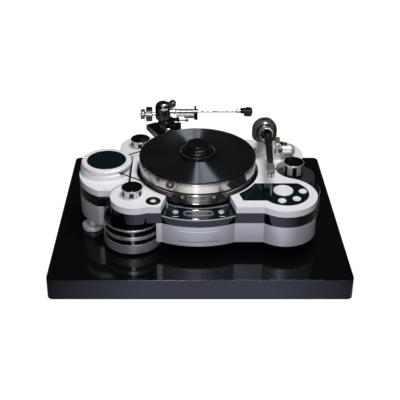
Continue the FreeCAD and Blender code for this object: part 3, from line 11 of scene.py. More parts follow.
import bpy
import numpy as np
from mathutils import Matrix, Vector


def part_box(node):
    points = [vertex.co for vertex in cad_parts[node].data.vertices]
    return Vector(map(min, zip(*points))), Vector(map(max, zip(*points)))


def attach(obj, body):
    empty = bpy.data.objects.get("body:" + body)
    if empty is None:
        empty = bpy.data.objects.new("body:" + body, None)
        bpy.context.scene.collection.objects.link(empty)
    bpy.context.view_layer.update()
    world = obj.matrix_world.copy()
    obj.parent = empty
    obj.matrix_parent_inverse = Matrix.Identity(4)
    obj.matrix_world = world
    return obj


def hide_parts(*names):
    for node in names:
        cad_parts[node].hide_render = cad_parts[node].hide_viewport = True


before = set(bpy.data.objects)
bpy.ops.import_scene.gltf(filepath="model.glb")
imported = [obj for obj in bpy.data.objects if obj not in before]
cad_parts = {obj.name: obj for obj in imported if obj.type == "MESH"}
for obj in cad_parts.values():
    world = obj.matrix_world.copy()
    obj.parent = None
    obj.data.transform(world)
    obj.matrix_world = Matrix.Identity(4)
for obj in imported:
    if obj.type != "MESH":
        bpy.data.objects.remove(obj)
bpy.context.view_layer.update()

# %% [markdown]
# Sizes are written in millimetres, as on a drawing, and turned into metres in one place.
# Middles and levels are read from the CAD boxes, so a new pack moves every added piece.

# %% Units and places
MM = 0.001


def middle(node):
    """The middle of a CAD node's box, in metres."""
    low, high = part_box(node)
    return [(a + b) / 2 for a, b in zip(low, high)]


def top(node):
    """The highest level of a CAD node, in metres."""
    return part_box(node)[1][2]


axis_x, axis_y = middle("record")[:2]
deck = top("top_plate")
print("platter axis", round(axis_x, 4), round(axis_y, 4), "deck level", round(deck, 4))

# %% [markdown]
# ## Camera
#
# The photograph was taken from in front and about 25 degrees above, with a long lens, so the
# slab's sides barely converge. The picture was then cropped, which moves the lens axis off
# the middle of the frame. A small lens shift says the same thing.

# %% Camera
LENS, SENSOR = 72.41, 36.0
SHIFT_X, SHIFT_Y = 0.039, -0.2122
CAMERA_MM = (-37.45, -1868.87, 1233.76)
TILT_DOWN = math.radians(25.393)

camera_data = bpy.data.cameras.new("camera")
camera_data.lens, camera_data.sensor_width = LENS, SENSOR
camera_data.shift_x, camera_data.shift_y = SHIFT_X, SHIFT_Y
camera = bpy.data.objects.new("camera", camera_data)
camera.location = [value * MM for value in CAMERA_MM]
camera.rotation_euler = (math.pi / 2 - TILT_DOWN, 0, 0)
bpy.context.scene.collection.objects.link(camera)
bpy.context.scene.camera = camera
bpy.context.scene.view_settings.view_transform = "Standard"
print("camera", [round(v, 3) for v in camera.location])

# %% [markdown]
# ## Materials, first the tools
#
# Colours are picked as on a screen, in hexadecimal, while a renderer counts in linear light,
# so one function turns the first into the second. A second helper adds a node and fills its
# sockets, so that a material reads as a list of what it is made of.

# %% Colour and node helpers
def linear(code):
    """A screen colour such as #808080 as linear light."""
    parts = [int(code[i:i + 2], 16) / 255 for i in (1, 3, 5)]
    return [p / 12.92 if p <= 0.04045 else ((p + 0.055) / 1.055) ** 2.4 for p in parts] + [1.0]


def blank(owner):
    """The empty node tree of a material or a world."""
    owner.use_nodes = True
    owner.node_tree.nodes.clear()
    return owner.node_tree


def add(tree, kind, inputs=None, **settings):
    """A new node with its settings made and its input sockets set or linked."""
    made = tree.nodes.new("ShaderNode" + kind)
    for name, value in settings.items():
        setattr(made, name, value)
    for name, value in (inputs or {}).items():
        if isinstance(value, bpy.types.NodeSocket):
            tree.links.new(value, made.inputs[name])
        else:
            made.inputs[name].default_value = value
    return made


# %% [markdown]
# A real surface is never quite even. The base of every finish here is the same: a cloud that
# varies the roughness and the tone a little, a fine grain that tilts the light, and a softened
# edge. The softened edge comes from the Bevel node, which reads the neighbouring faces: the CAD
# edges are sharp, and a real one always catches a line of light. Where the bevelled normal leans
# away from the true one there is an edge, and a lighter edge colour goes there: partly wear,
# partly a painted highlight.

# %% The base of every finish
CLOUD_THIN, CLOUD_THICK = 0.3, 0.7
LEAN_FLAT, LEAN_EDGE = 0.995, 0.8
GRAIN_DEPTH_MM = 0.1


def spread(tree, noise, low, high):
    """A cloud's value, spread from one number to another."""
    return add(tree, "MapRange", {"Value": noise, "From Min": CLOUD_THIN, "From Max": CLOUD_THICK,
                                  "To Min": low, "To Max": high}).outputs["Result"]


def finish(name, colour, rough, metal=0.0, coat=0.0, coat_rough=0.03, vary=0.2, cloud_mm=40,
           grain_mm=0.6, grain=0.02, edge_mm=0.5, worn_glint="#ffffff", wear_glint=0.15, extra=None):
    """A material with cloud, grain, softened edges, and edge tint for wear and painted highlight.
    Returns it and its parts.
    """
    material = bpy.data.materials.new(name)
    tree = blank(material)
    place = add(tree, "TexCoord").outputs["Object"]
    cloud = add(tree, "TexNoise", {"Vector": place, "Scale": 1 / (cloud_mm * MM),
                                   "Detail": 4.0}).outputs["Fac"]
    fine = add(tree, "TexNoise", {"Vector": place, "Scale": 1 / (grain_mm * MM), "Detail": 2.0})
    true = add(tree, "NewGeometry")
    soft = add(tree, "Bevel", {"Radius": edge_mm * MM}, samples=4) if edge_mm else true
    lean = add(tree, "VectorMath", {0: soft.outputs["Normal"], 1: true.outputs["Normal"]},
               operation="DOT_PRODUCT")
    edge = add(tree, "MapRange", {"Value": lean.outputs["Value"], "From Min": LEAN_FLAT,
                                  "From Max": LEAN_EDGE, "To Max": wear_glint})
    bump = add(tree, "Bump", {"Height": fine.outputs["Fac"], "Strength": grain,
                              "Distance": GRAIN_DEPTH_MM * MM,
                              "Normal": soft.outputs["Normal"]})
    toned = add(tree, "VectorMath", {0: linear(colour)[:3],
                                     "Scale": spread(tree, cloud, 1 - vary / 4, 1.0)},
                operation="SCALE")
    # The edge colour is laid on where the normal bends: partly wear, partly a painted highlight
    # along the edge.
    worn_glint_colour = add(tree, "Mix", {"Factor": edge.outputs["Result"], "A": toned.outputs[0],
                                    "B": linear(worn_glint)[:3]}, data_type="VECTOR")
    shader = add(tree, "BsdfPrincipled", {
        "Base Color": worn_glint_colour.outputs[1], "Metallic": metal, "Coat Weight": coat,
        "Roughness": spread(tree, cloud, rough * (1 - vary), rough * (1 + vary)),
        "Coat Roughness": coat_rough, "Normal": bump.outputs["Normal"], **(extra or {})})
    out = add(tree, "OutputMaterial", {"Surface": shader.outputs["BSDF"]})
    return {"material": material, "tree": tree, "place": place, "out": out,
            "surface": shader.outputs["BSDF"], "normal": bump.outputs["Normal"]}


# %% [markdown]
# Many real pieces are one solid with several finishes: a black body with a bright ring, or a
# chrome knob with a dark disc. So a finish can take further shaders on top, each held inside
# a mask. A mask is a number between nothing and one, worked out from the place on the object.

# %% Masks and overlays
def overlay(made, where, kind="BsdfPrincipled", **inputs):
    """Lays another shader over a finish, as far as the mask or share says."""
    tree = made["tree"]
    inputs["Normal"] = made["normal"]
    other = add(tree, kind, {name.replace("_", " "): value for name, value in inputs.items()})
    both = add(tree, "MixShader", {0: where, 1: made["surface"], 2: other.outputs[0]})
    made["surface"] = both.outputs[0]
    tree.links.new(both.outputs[0], made["out"].inputs["Surface"])


def between(tree, value, low, high):
    """A mask that is one where a value lies between two others."""
    return add(tree, "Math", {0: value, 1: (low + high) / 2, 2: (high - low) / 2},
               operation="COMPARE").outputs[0]


def product(tree, *masks):
    """The product of several masks."""
    total = masks[0]
    for mask in masks[1:]:
        total = add(tree, "Math", {0: total, 1: mask}, operation="MULTIPLY").outputs[0]
    return total


def levels(made, low, high):
    """A mask that is one between two levels, in millimetres."""
    level = add(made["tree"], "SeparateXYZ", {"Vector": made["place"]}).outputs["Z"]
    return between(made["tree"], level, low * MM, high * MM)


def zone(made, low, high):
    """A mask that is one inside a box, given by two corners in millimetres."""
    tree = made["tree"]
    parts = add(tree, "SeparateXYZ", {"Vector": made["place"]}).outputs
    return product(tree, *[between(tree, parts[i], low[i] * MM, high[i] * MM)
                           for i in range(3)])


def spot(made, centre, half, soft=0.4):
    """A mask that is one inside an ellipsoid with a soft rim. Sizes are in millimetres."""
    tree = made["tree"]
    moved = add(tree, "VectorMath", {0: made["place"], 1: [-c * MM for c in centre]},
                operation="ADD")
    scaled = add(tree, "VectorMath", {0: moved.outputs[0], 1: [1 / (h * MM) for h in half]},
                 operation="MULTIPLY")
    reach = add(tree, "VectorMath", {0: scaled.outputs[0]}, operation="LENGTH")
    return add(tree, "MapRange", {"Value": reach.outputs["Value"], "From Min": 1.0,
                                  "From Max": 1.0 - soft}).outputs[0]


def about_axis(tree, place, x, y):
    """The way from a standing axis to the point, that way turned by a quarter, its length."""
    out = add(tree, "VectorMath", {0: place, 1: (-x, -y, 0)}, operation="ADD")
    flat = add(tree, "VectorMath", {0: out.outputs[0], 1: (1, 1, 0)}, operation="MULTIPLY")
    along = add(tree, "VectorMath", {0: (0, 0, 1), 1: flat.outputs[0]},
                operation="CROSS_PRODUCT")
    reach = add(tree, "VectorMath", {0: flat.outputs[0]}, operation="LENGTH")
    return flat.outputs[0], along.outputs[0], reach.outputs["Value"]


# %% [markdown]
# A finish reaches its solids in two ways. Most go to every solid with the same material slot.
# A few go to one named solid that differs from the others in its slot.

# %% Giving a finish to solids
finishes = {}


def dress(slot_name, made):
    """Gives a finish to every CAD node that has this material slot."""
    count = 0
    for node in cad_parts.values():
        for place in node.material_slots:
            if place.material and place.material.name.split(".")[0] == slot_name:
                place.material = made["material"]
                count += 1
    finishes[slot_name] = made
    print(slot_name, "on", count, "nodes")


def dress_node(name, made):
    """Gives a finish to one CAD node."""
    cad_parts[name].material_slots[0].material = made["material"]
    print(made["material"].name, "on", name)


# %% [markdown]
# ## Lacquers
#
# The slab and the middle layer are black piano lacquer: a deep colour under a clear, smooth
# coat, so they act as a dark mirror. Its shine is a little cool. The top plate and the pod
# are white with a fine pearl, which stays bright but shines softly. The lower layer is a
# satin silver-grey paint, with metal flakes in it, so it is part metal and rather rough.

# %% Black, pearl and satin lacquers
COOL_SHINE = {"Specular Tint": linear("#dde4ff")}

dress("black_slab", finish("piano black slab", "#0d0d0f", 0.07, vary=0.3, cloud_mm=90,
                           grain_mm=2.5, grain=0.008, edge_mm=1.2, worn_glint="#5a5a60", wear_glint=0.25,
                           extra=COOL_SHINE))
dress("black_layer", finish("piano black layer", "#0a0a0c", 0.06, vary=0.3, grain_mm=2.0,
                            grain=0.008, edge_mm=0.5, worn_glint="#46464c", wear_glint=0.2,
                            extra=COOL_SHINE))
dress("pearl_white", finish("pearl white lacquer", "#efeef2", 0.34, coat=0.3, coat_rough=0.12,
                            vary=0.12, cloud_mm=60, grain_mm=0.5, grain=0.03, edge_mm=1.1,
                            worn_glint="#ffffff", wear_glint=0.5))
dress("satin_layer", finish("satin silver-grey paint", "#cccdd4", 0.40, metal=0.4, vary=0.12,
                            cloud_mm=70, grain_mm=0.35, grain=0.05, edge_mm=0.6,
                            worn_glint="#d8d9de", wear_glint=0.3))

# %% [markdown]
# The slab's upper face is a little softer than its sides, so it mirrors the chassis only dimly.
# The middle layer comes out from under the deck beside the right knob, as a lobe whose black face
# is painted charcoal grey: a painted sheen.

# %% Upper faces of the black lacquers
SLAB_SKIN_MM = 0.3
LOBE_SHEEN_LOW_MM, LOBE_SHEEN_HIGH_MM = (180, -80, 174.6), (330, 70, 176)

slab, slab_top = finishes["black_slab"], top("plinth") / MM
overlay(slab, levels(slab, slab_top - SLAB_SKIN_MM, slab_top + SLAB_SKIN_MM),
        Base_Color=linear("#0b0b0c"), Roughness=0.10, Specular_IOR_Level=0.32)
layer = finishes["black_layer"]
# Painted sheen: a charcoal grey laid on the black lobe's face.
overlay(layer, zone(layer, LOBE_SHEEN_LOW_MM, LOBE_SHEEN_HIGH_MM), Base_Color=linear("#2f3034"),
        Roughness=0.26)
print("slab face at", round(slab_top, 1), "mm")

# %% [markdown]
# ## Glass of the panels
#
# The control panels are tinted glass, nearly black with a green-blue depth. From outside such
# a glass shows its coat first, so it is a dark body under a perfectly smooth clear layer.

# %% Dark glass
dress("dark_glass", finish("dark teal glass", "#06171b", 0.08, coat=1.0, coat_rough=0.01,
                           vary=0.2, cloud_mm=50, grain_mm=4.0, grain=0.004, edge_mm=0.4,
                           worn_glint="#5f7a80", wear_glint=0.35))

# %% [markdown]
# ## Bare and plated metals
#
# Metals differ in their tint and in how they were worked: polished trim and chrome are smooth,
# turned aluminium is satin, and a weight has a dull plating. Each row holds the slot, the finish,
# its colour, its roughness, how far it is metal, and its edge colour, which stands for wear and
# for a painted highlight along the edge. Round work has no sharp edges, so it is left without the
# softened edge.

# %% Metals
METALS = {
    "plate": ("satin plate", "#c6c9d2", 0.40, 0.35, "#ffffff"),
    "bright_trim": ("satin trim", "#b4b6bc", 0.34, 0.35, "#ffffff"),
    "key_silver": ("silver key", "#e3e6ee", 0.30, 0.55, "#ffffff"),
    "leg_metal": ("satin leg base", "#a3a8ae", 0.40, 0.65, "#c9cdd4"),
    "leg_bright": ("satin leg ring", "#d0d2d7", 0.30, 0.8, "#ffffff"),
    "pulley": ("turned pulley", "#b8b9bd", 0.25, 1.0, "#ffffff"),
    "bearing": ("ground bearing plate", "#8d8f94", 0.22, 1.0, "#ffffff"),
    "inlet_brass": ("brass inlet", "#c9a35a", 0.25, 1.0, "#f3dba0"),
    "pillar_champagne": ("champagne aluminium", "#dddcd7", 0.32, 0.4, "#fff8ea"),
    "bell_gunmetal": ("grey nickel bell", "#70706b", 0.26, 0.6, "#dfe0e2"),
    "tube_chrome": ("chromed tube", "#c2c2c0", 0.20, 1.0, "#ffffff"),
    "weight_chrome": ("chromed weight", "#7e7f82", 0.26, 0.9, "#ffffff"),
    "barrel_silver": ("silver barrel knob", "#e8e9ea", 0.30, 0.6, "#ffffff"),
    "bronze_board": ("bronze board", "#b3a67f", 0.34, 0.5, "#fdf3d2"),
}
ROUND_WORK = ("tube_chrome", "weight_chrome", "bell_gunmetal", "barrel_silver")

for slot_name, (title, colour, rough, metal, worn_glint) in METALS.items():
    dress(slot_name, finish(title, colour, rough, metal=metal, worn_glint=worn_glint, wear_glint=0.4,
                            edge_mm=0 if slot_name in ROUND_WORK else 0.5, cloud_mm=25,
                            grain_mm=0.3, grain=0.03))

# %% [markdown]
# The strip round the front panel is bright along its upper edge and black below it. The nameplate
# is let into the chassis with a chamfer: its upper edge faces the lamps and its lower edge faces
# the floor, so the upper edge gets a painted highlight and the lower edge painted shade.

# %% Trim and nameplate
TRIM_BRIGHT_MM = 164.9
PLATE_HIGHLIGHT_MM = ((-100, -300, 131.0), (100, 0, 134))
PLATE_SHADE_MM = ((-100, -300, 102), (100, 0, 104.4))

trim = finishes["bright_trim"]
overlay(trim, levels(trim, 0.0, TRIM_BRIGHT_MM), Base_Color=linear("#0a0a0c"), Roughness=0.08)
nameplate = finishes["plate"]
# Painted highlight on the chamfer's upper edge, painted shade on its lower edge.
overlay(nameplate, zone(nameplate, *PLATE_HIGHLIGHT_MM), Base_Color=linear("#f6f7f9"),
        Metallic=0.3, Roughness=0.3)
overlay(nameplate, zone(nameplate, *PLATE_SHADE_MM), Base_Color=linear("#4c4e56"),
        Roughness=0.4)
print("trim is bright above", TRIM_BRIGHT_MM, "mm")

# %% [markdown]
# The left arm stands on a bronze board with a black upper face. The sides were cut after the
# face was blackened, so only what looks up is black.

# %% Black face of the board
FACING_UP = (0.9, 1.1)

board = finishes["bronze_board"]
facing = add(board["tree"], "SeparateXYZ", {
    "Vector": add(board["tree"], "NewGeometry").outputs["Normal"]}).outputs["Z"]
overlay(board, between(board["tree"], facing, *FACING_UP), Base_Color=linear("#0b0b0c"),
        Roughness=0.12, Coat_Weight=0.6)
print("board's top at", round(top("left_arm_board"), 4))

# %% [markdown]
# The pod's feet are a brighter satin than the legs, and the display's frame is a plain grey.

# %% Feet and display frame
dress_node("pod_feet", finish("bright satin feet", "#d2d3d8", 0.34, metal=0.25,
                              worn_glint="#ffffff", wear_glint=0.4, cloud_mm=25, grain_mm=0.3, grain=0.03))
dress_node("display_frame", finish("grey display frame", "#85868c", 0.30, metal=0.5,
                                   worn_glint="#c9cad0", wear_glint=0.4, cloud_mm=12, grain_mm=0.3,
                                   grain=0.02))

# %% [markdown]
# ## Blacks that aren't lacquer
#
# Anodised aluminium, moulded plastic and rubber are all black, and only their shine tells them
# apart. Each row holds the finish, its colour, its roughness, its coat and its edge colour, which
# stands for wear and for a painted highlight along the edge.

# %% Anodised, moulded and rubber blacks
BLACKS = {
    "leg_black": ("gloss black leg", "#08080a", 0.08, 0.6, "#5c5c62"),
    "motor_black": ("motor case", "#0b0b0c", 0.4, 0.0, "#303034"),
    "belt": ("rubber belt", "#0c0c0c", 0.6, 0.0, "#1c1c1c"),
    "mat_black": ("acrylic disc", "#101114", 0.12, 0.6, "#60606a"),
    "clamp_black": ("anodised clamp", "#0c0c0d", 0.3, 0.0, "#3c3c40"),
    "level_black": ("level ring", "#0d0d0e", 0.16, 0.3, "#55565a"),
    "pillar_black": ("black pillar", "#0a0a0b", 0.16, 0.4, "#6a6a6c"),
    "bell_dark": ("dark chrome bell", "#141416", 0.10, 1.0, "#7c7c80"),
    "wand_black": ("satin black wand", "#171517", 0.34, 0.1, "#3e3c3e"),
    "shell_black": ("black headshell", "#161616", 0.32, 0.2, "#5a5a5a"),
    "cartridge_body": ("cartridge body", "#1a1a1c", 0.28, 0.3, "#6c6c70"),
    "lever_black": ("black lever", "#0e0e0f", 0.25, 0.3, "#5c5c5e"),
}

for slot_name, (title, colour, rough, coat, worn_glint) in BLACKS.items():
    dress(slot_name, finish(title, colour, rough, coat=coat, worn_glint=worn_glint, wear_glint=0.35,
                            edge_mm=0.4, cloud_mm=20, grain_mm=0.3, grain=0.04))

# %% [markdown]
# Some finishes return in several places as a small area on a larger piece: matt black, which also
# serves for painted shade and painted reflections; bright metal, which also serves for painted
# highlights; grey nickel; and a pale satin that serves for painted highlights.

# %% Finishes for small areas
# These serve real black, bright and nickel parts, and also painted shade, painted reflections and
# painted highlights.
DARK_AND_SHADE = dict(Base_Color=linear("#0b0b0c"), Roughness=0.25)
BRIGHT_AND_HIGHLIGHT = dict(Base_Color=linear("#f4f4f4"), Metallic=0.3, Roughness=0.3)
NICKEL = dict(Base_Color=linear("#a9a7a6"), Metallic=0.5, Roughness=0.25)
SATIN_HIGHLIGHT = dict(Base_Color=linear("#ededee"), Metallic=0.05, Roughness=0.5)

# %% [markdown]
# ## The arms' bells
#
# The right arm's bell is a dome of grey nickel. Its sides carry painted reflections, dark and
# light patches for what it mirrors, and a painted highlight streaks across its top. A bright ring
# round the wand's root stands out of its front, with a painted highlight on its upper right, and
# the bore inside it is painted dark: painted shade. A dark arc is painted round the ring, from
# its upper right over the top to its lower left: a painted reflection in the polished dome. The
# ring, the bore and the arc are circles about the wand's own line, so the helper for a standing
# axis gets a place in which height and depth have changed roles.

# %% Right bell
RING_X_MM, RING_Z_MM, RING_FRONT_MM, BORE_SHADE_DEPTH_MM = 179.5, 268.0, 49.0, 58.0
BORE_SHADE_MM, RING_IN_MM, RING_HIGHLIGHT_MM, RING_OUT_MM = 14.6, 13.5, 15.5, 20.0
ARC_REFLECTION_IN_MM, ARC_REFLECTION_OUT_MM = 21.0, 24.5
ARC_REFLECTION_TURNS = ((62, 180), (-180, -150))
RING_HIGHLIGHT_TURN = (15, 78)
DOME_PAINTED_REFLECTIONS = (((176, 76, 299), (28, 11, 4), "#232321"),
               ((206, 62, 272), (9, 17, 26), "#2a2b28"),
               ((150, 53, 266), (7, 11, 15), "#a4a69c"),
               ((196, 70, 292), (6, 6, 5), "#0e0e0d"))
DOME_PAINTED_HIGHLIGHT = ((173, 62, 296.6), (15.5, 2.6, 3))

bell = finishes["bell_gunmetal"]
tree = bell["tree"]
parts = add(tree, "SeparateXYZ", {"Vector": bell["place"]}).outputs
seen_plan = add(tree, "CombineXYZ", {"X": parts["X"], "Y": parts["Z"]}).outputs[0]
spoke, _, reach = about_axis(tree, seen_plan, RING_X_MM * MM, RING_Z_MM * MM)
sides = add(tree, "SeparateXYZ", {"Vector": spoke}).outputs
angle = add(tree, "Math", {0: sides["Y"], 1: sides["X"]}, operation="ARCTAN2").outputs[0]


def annulus(low, high):
    """A mask that is one between two radii about the wand's line, in millimetres."""
    return between(tree, reach, low * MM, high * MM)


def turned(low, high):
    """A mask that is one between two angles about the wand's line, in degrees."""
    return between(tree, angle, math.radians(low), math.radians(high))


# Painted reflections: dark and light patches on the dome.
for centre, half, shade in DOME_PAINTED_REFLECTIONS:
    overlay(bell, spot(bell, centre, half, 0.8), Base_Color=linear(shade), Metallic=0.5,
            Roughness=0.3)
# Painted highlight: a bright streak across the dome's top.
overlay(bell, spot(bell, *DOME_PAINTED_HIGHLIGHT), **BRIGHT_AND_HIGHLIGHT)
# Painted reflection: a dark arc round the ring.
for turn in ARC_REFLECTION_TURNS:
    overlay(bell, product(tree, annulus(ARC_REFLECTION_IN_MM, ARC_REFLECTION_OUT_MM), turned(*turn)), **DARK_AND_SHADE)
front = between(tree, parts["Y"], 0.0, RING_FRONT_MM * MM)
overlay(bell, product(tree, front, annulus(RING_IN_MM, RING_OUT_MM)), **NICKEL)
# Painted highlight on the ring's upper right.
overlay(bell, product(tree, front, annulus(RING_HIGHLIGHT_MM, RING_OUT_MM),
                      turned(*RING_HIGHLIGHT_TURN)), **BRIGHT_AND_HIGHLIGHT)
# Painted shade inside the bore.
overlay(bell, product(tree, annulus(0.0, BORE_SHADE_MM),
                      between(tree, parts["Y"], 0.0, BORE_SHADE_DEPTH_MM * MM)), **DARK_AND_SHADE)
print("right bell", len(tree.nodes), "nodes")

# %% [markdown]
# The left bell is black chrome with two turned shoulders, and a band of pale satin is painted
# across the front of each: painted highlights. Its foot is a dull grey, and the small drum beside
# it has a light face.

# %% Left bell
BELL_FOOT_MM = ((-200, 100, 240), (-60, 300, 257))
SHOULDER_HIGHLIGHTS_MM = (((-90, 179, 289.0), (17.0, 12, 2.2)), ((-89.5, 175, 277.6), (20.0, 12, 4.2)))
DRUM_FACE_MM = ((-69, 186, 293), (5.0, 14, 4.0))

bell = finishes["bell_dark"]
overlay(bell, zone(bell, *BELL_FOOT_MM), Base_Color=linear("#5a5a5e"), Metallic=0.6,
        Roughness=0.3)
# Painted highlights: pale satin bands across the shoulders.
for centre, half in SHOULDER_HIGHLIGHTS_MM:
    overlay(bell, spot(bell, centre, half), **SATIN_HIGHLIGHT)
overlay(bell, spot(bell, *DRUM_FACE_MM), Base_Color=linear("#c9c9ce"), Roughness=0.3)
print("left bell", len(bell["tree"].nodes), "nodes")

# %% [markdown]
# Chrome shows its surroundings more than itself. The left tube would mirror a dark ceiling above
# and a dark slab below, so its upper and lower parts are painted dark, a painted reflection, and
# only a band along its middle stays bright. The weight behind the bell gets the same: its top is
# painted dark and its lower half a dull grey, both painted reflections.

# %% Left tube and weight
TUBE_PAINTED_REFLECTIONS_MM = (((-64, 170, 267.8), (0, 225, 275)), ((-64, 170, 245), (0, 225, 259.0)),
                  ((0, 170, 245), (125, 225, 259.6)), ((-170, 170, 266), (-121, 225, 275)))
WEIGHT_DARK_REFLECTION_MM = ((-162, 170, 268.5), (-128, 225, 277))
WEIGHT_DULL_REFLECTION_MM = ((-162, 170, 233), (-128, 225, 251))

tube, weight = finishes["tube_chrome"], finishes["weight_chrome"]
# Painted reflections: dark zones on the tube.
for low, high in TUBE_PAINTED_REFLECTIONS_MM:
    overlay(tube, zone(tube, low, high), **DARK_AND_SHADE)
# Painted reflections: a dark top and a dull lower half on the weight.
overlay(weight, zone(weight, *WEIGHT_DARK_REFLECTION_MM), **DARK_AND_SHADE)
overlay(weight, zone(weight, *WEIGHT_DULL_REFLECTION_MM), Base_Color=linear("#58595c"), Metallic=0.6,
        Roughness=0.35)
print("tube shades", len(TUBE_PAINTED_REFLECTIONS_MM))

# %% [markdown]
# ## The arms' pillars
#
# The left pillar is black, apart from the bright rest that its tube lies in. Beside the right
# bell stand a brown square head on a bright turned disc, a black lever, and a black shaft
# that leads to the silver barrel knob. They are one solid with the pillar, so their finishes
# are given by place. Three dark screws hold the pillar down.

# %% Pillars
REST_MM = ((-66, 150, 243.0), (-10, 300, 253.0))
LIFT_DISC_MM = ((204, 46, 231.5), (222, 64, 239.2))
LIFT_HEAD_MM = ((207, 49, 239.2), (219, 61, 262))
LEVER_SHAFT_MM = (((219.5, 54, 230), (230, 62, 241)), ((198, 52, 208.2), (226, 62, 217.6)))
SCREWS_MM = ((156.2, 107.4), (160.0, 79.6), (206.8, 60.5))
SCREW_LEVEL_MM, SCREW_HALF_MM = 200, (3.2, 3.2, 12)

rest = finishes["pillar_black"]
overlay(rest, zone(rest, *REST_MM), **BRIGHT_AND_HIGHLIGHT)
pillar = finishes["pillar_champagne"]
overlay(pillar, zone(pillar, *LIFT_DISC_MM), **BRIGHT_AND_HIGHLIGHT)
overlay(pillar, zone(pillar, *LIFT_HEAD_MM), Base_Color=linear("#8f7869"), Metallic=0.5,
        Roughness=0.35)
for low, high in LEVER_SHAFT_MM:
    overlay(pillar, zone(pillar, low, high), **DARK_AND_SHADE)
for x, y in SCREWS_MM:
    overlay(pillar, spot(pillar, (x, y, SCREW_LEVEL_MM), SCREW_HALF_MM, 0.2), **DARK_AND_SHADE)
print("right pillar", len(pillar["tree"].nodes), "nodes")

# %% [markdown]
# ## The legs' upper faces
#
# Each air leg carries a turned ring at its shoulder. Its side is bright, and its upper face is
# painted a darker metal: painted shade on a finely turned face. The narrow neck above it is
# painted charcoal grey: a painted sheen.

# %% Legs
SHOULDER_MM, SHOULDER_SKIN_MM = 132.45, 0.6
NECK_SHEEN_LOW_MM, NECK_SHEEN_HIGH_MM = 144, 192

leg, rings = finishes["leg_black"], finishes["leg_bright"]
# Painted sheen: charcoal grey on the black neck.
overlay(leg, levels(leg, NECK_SHEEN_LOW_MM, NECK_SHEEN_HIGH_MM), Base_Color=linear("#37383c"),
        Roughness=0.30)
# Painted shade: the ring's upper face is darker than its side.
overlay(rings, levels(rings, SHOULDER_MM, SHOULDER_MM + SHOULDER_SKIN_MM),
        Base_Color=linear("#55565a"), Metallic=1.0, Roughness=0.30)
print("shoulder ring at", SHOULDER_MM, "mm")

# %% [markdown]
# ## White keys and the level's vial
#
# The keys of the side panel are white with a silky face. The vial of the bubble level is painted
# white, both for its silvered back and as a painted highlight, so its bubble is the brightest
# spot of the deck. Round it lie rings of black and grey: the wall of the vial and its bezel.

# %% White keys and vial
VIAL_RINGS_MM = ((6.5, 8.0, "#0c0c0e"), (8.0, 10.2, "#4c4e52"), (10.2, 20.0, "#0e0f11"))

dress("key_white", finish("white key", "#eeeef4", 0.32, coat=0.4, coat_rough=0.1, vary=0.1,
                          cloud_mm=12, grain_mm=0.3, grain=0.02, edge_mm=0.7, wear_glint=0.4))
# The vial's white stands partly for its silvered back and partly for a painted highlight.
vial = finish("white vial with painted highlight", "#f2f4f4", 0.2, coat=1.0, vary=0.2, cloud_mm=8,
              grain_mm=0.5, grain=0.02, edge_mm=0.5, wear_glint=0.3)
vial_reach = about_axis(vial["tree"], vial["place"], *middle("level_vial")[:2])[2]
for low, high, shade in VIAL_RINGS_MM:
    overlay(vial, between(vial["tree"], vial_reach, low * MM, high * MM),
            Base_Color=linear(shade), Roughness=0.22)
dress("level_glass", vial)

# %% [markdown]
# ## The platter
#
# The platter is turned from steel and polished until it mirrors the room. Fine marks of the
# lathe still run round it, so its shine is drawn out: along the axis it is a little rougher
# than round it. The direction of the marks is the cross product of the axis and the way from
# the axis, both known from Object coordinates. Three fine lines are cut round the side.

# %% Polished platter steel
TURNED_LINES_MM = ((195.2, 196.0), (225.2, 226.2), (230.8, 231.2))
TURNED_SHARE = 0.3

steel = finish("polished platter steel", "#dcd5cf", 0.09, metal=1.0, vary=0.25, cloud_mm=60,
               grain_mm=0.5, grain=0.01, edge_mm=0.5, wear_glint=0.4)
around = about_axis(steel["tree"], steel["place"], axis_x, axis_y)[1]
overlay(steel, TURNED_SHARE, "BsdfAnisotropic", Color=linear("#cfc8c2"), Roughness=0.40,
        Anisotropy=0.80, Tangent=around)
for low, high in TURNED_LINES_MM:
    overlay(steel, levels(steel, low, high), Base_Color=linear("#2a2724"), Metallic=1.0,
            Roughness=0.3)
dress("platter_steel", steel)

# %% [markdown]
# ## The knobs on the legs
#
# Each knob is chrome with dark windows in its grip and a matt black disc on top. They are one
# turned solid in the CAD model, so the finish changes with the place: the disc lies above the
# rim, and the windows lie nearer the axis than the grip. The right knob's lowest part is painted
# dark: a painted shadow at its foot.

# %% Knobs
KNOB_WINDOW_MM, KNOB_FACE_MM, KNOB_FACE_DEPTH_MM, KNOB_FOOT_SHADOW_MM = 24.1, 25.9, 2.2, 8.0


def knob_finish(node):
    """Chrome, with black where the surface lies inside the grip or on the top disc."""
    made = finish("satin chromed knob with black disc", "#d6d9dd", 0.24, metal=0.6,
                  cloud_mm=15, grain_mm=0.3, grain=0.015, edge_mm=0.5, wear_glint=0.4)
    tree, crown = made["tree"], top(node) / MM
    reach = about_axis(tree, made["place"], *middle(node)[:2])[2]
    for radius, low in ((KNOB_WINDOW_MM, 0.0), (KNOB_FACE_MM, crown - KNOB_FACE_DEPTH_MM)):
        inside = between(tree, reach, 0.0, radius * MM)
        overlay(made, product(tree, inside, levels(made, low, crown + KNOB_FACE_DEPTH_MM)),
                Base_Color=linear("#0a0a0b"), Roughness=0.2, Specular_IOR_Level=0.25)
    return made


for node in ("front_left_knob", "rear_left_knob"):
    dress_node(node, knob_finish(node))
knob, foot = knob_finish("right_knob"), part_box("right_knob")[0][2] / MM
# Painted shadow: the right knob's lowest part is darkened.
overlay(knob, levels(knob, foot - KNOB_FOOT_SHADOW_MM, foot + KNOB_FOOT_SHADOW_MM),
        Base_Color=linear("#101012"), Roughness=0.3)
dress_node("right_knob", knob)

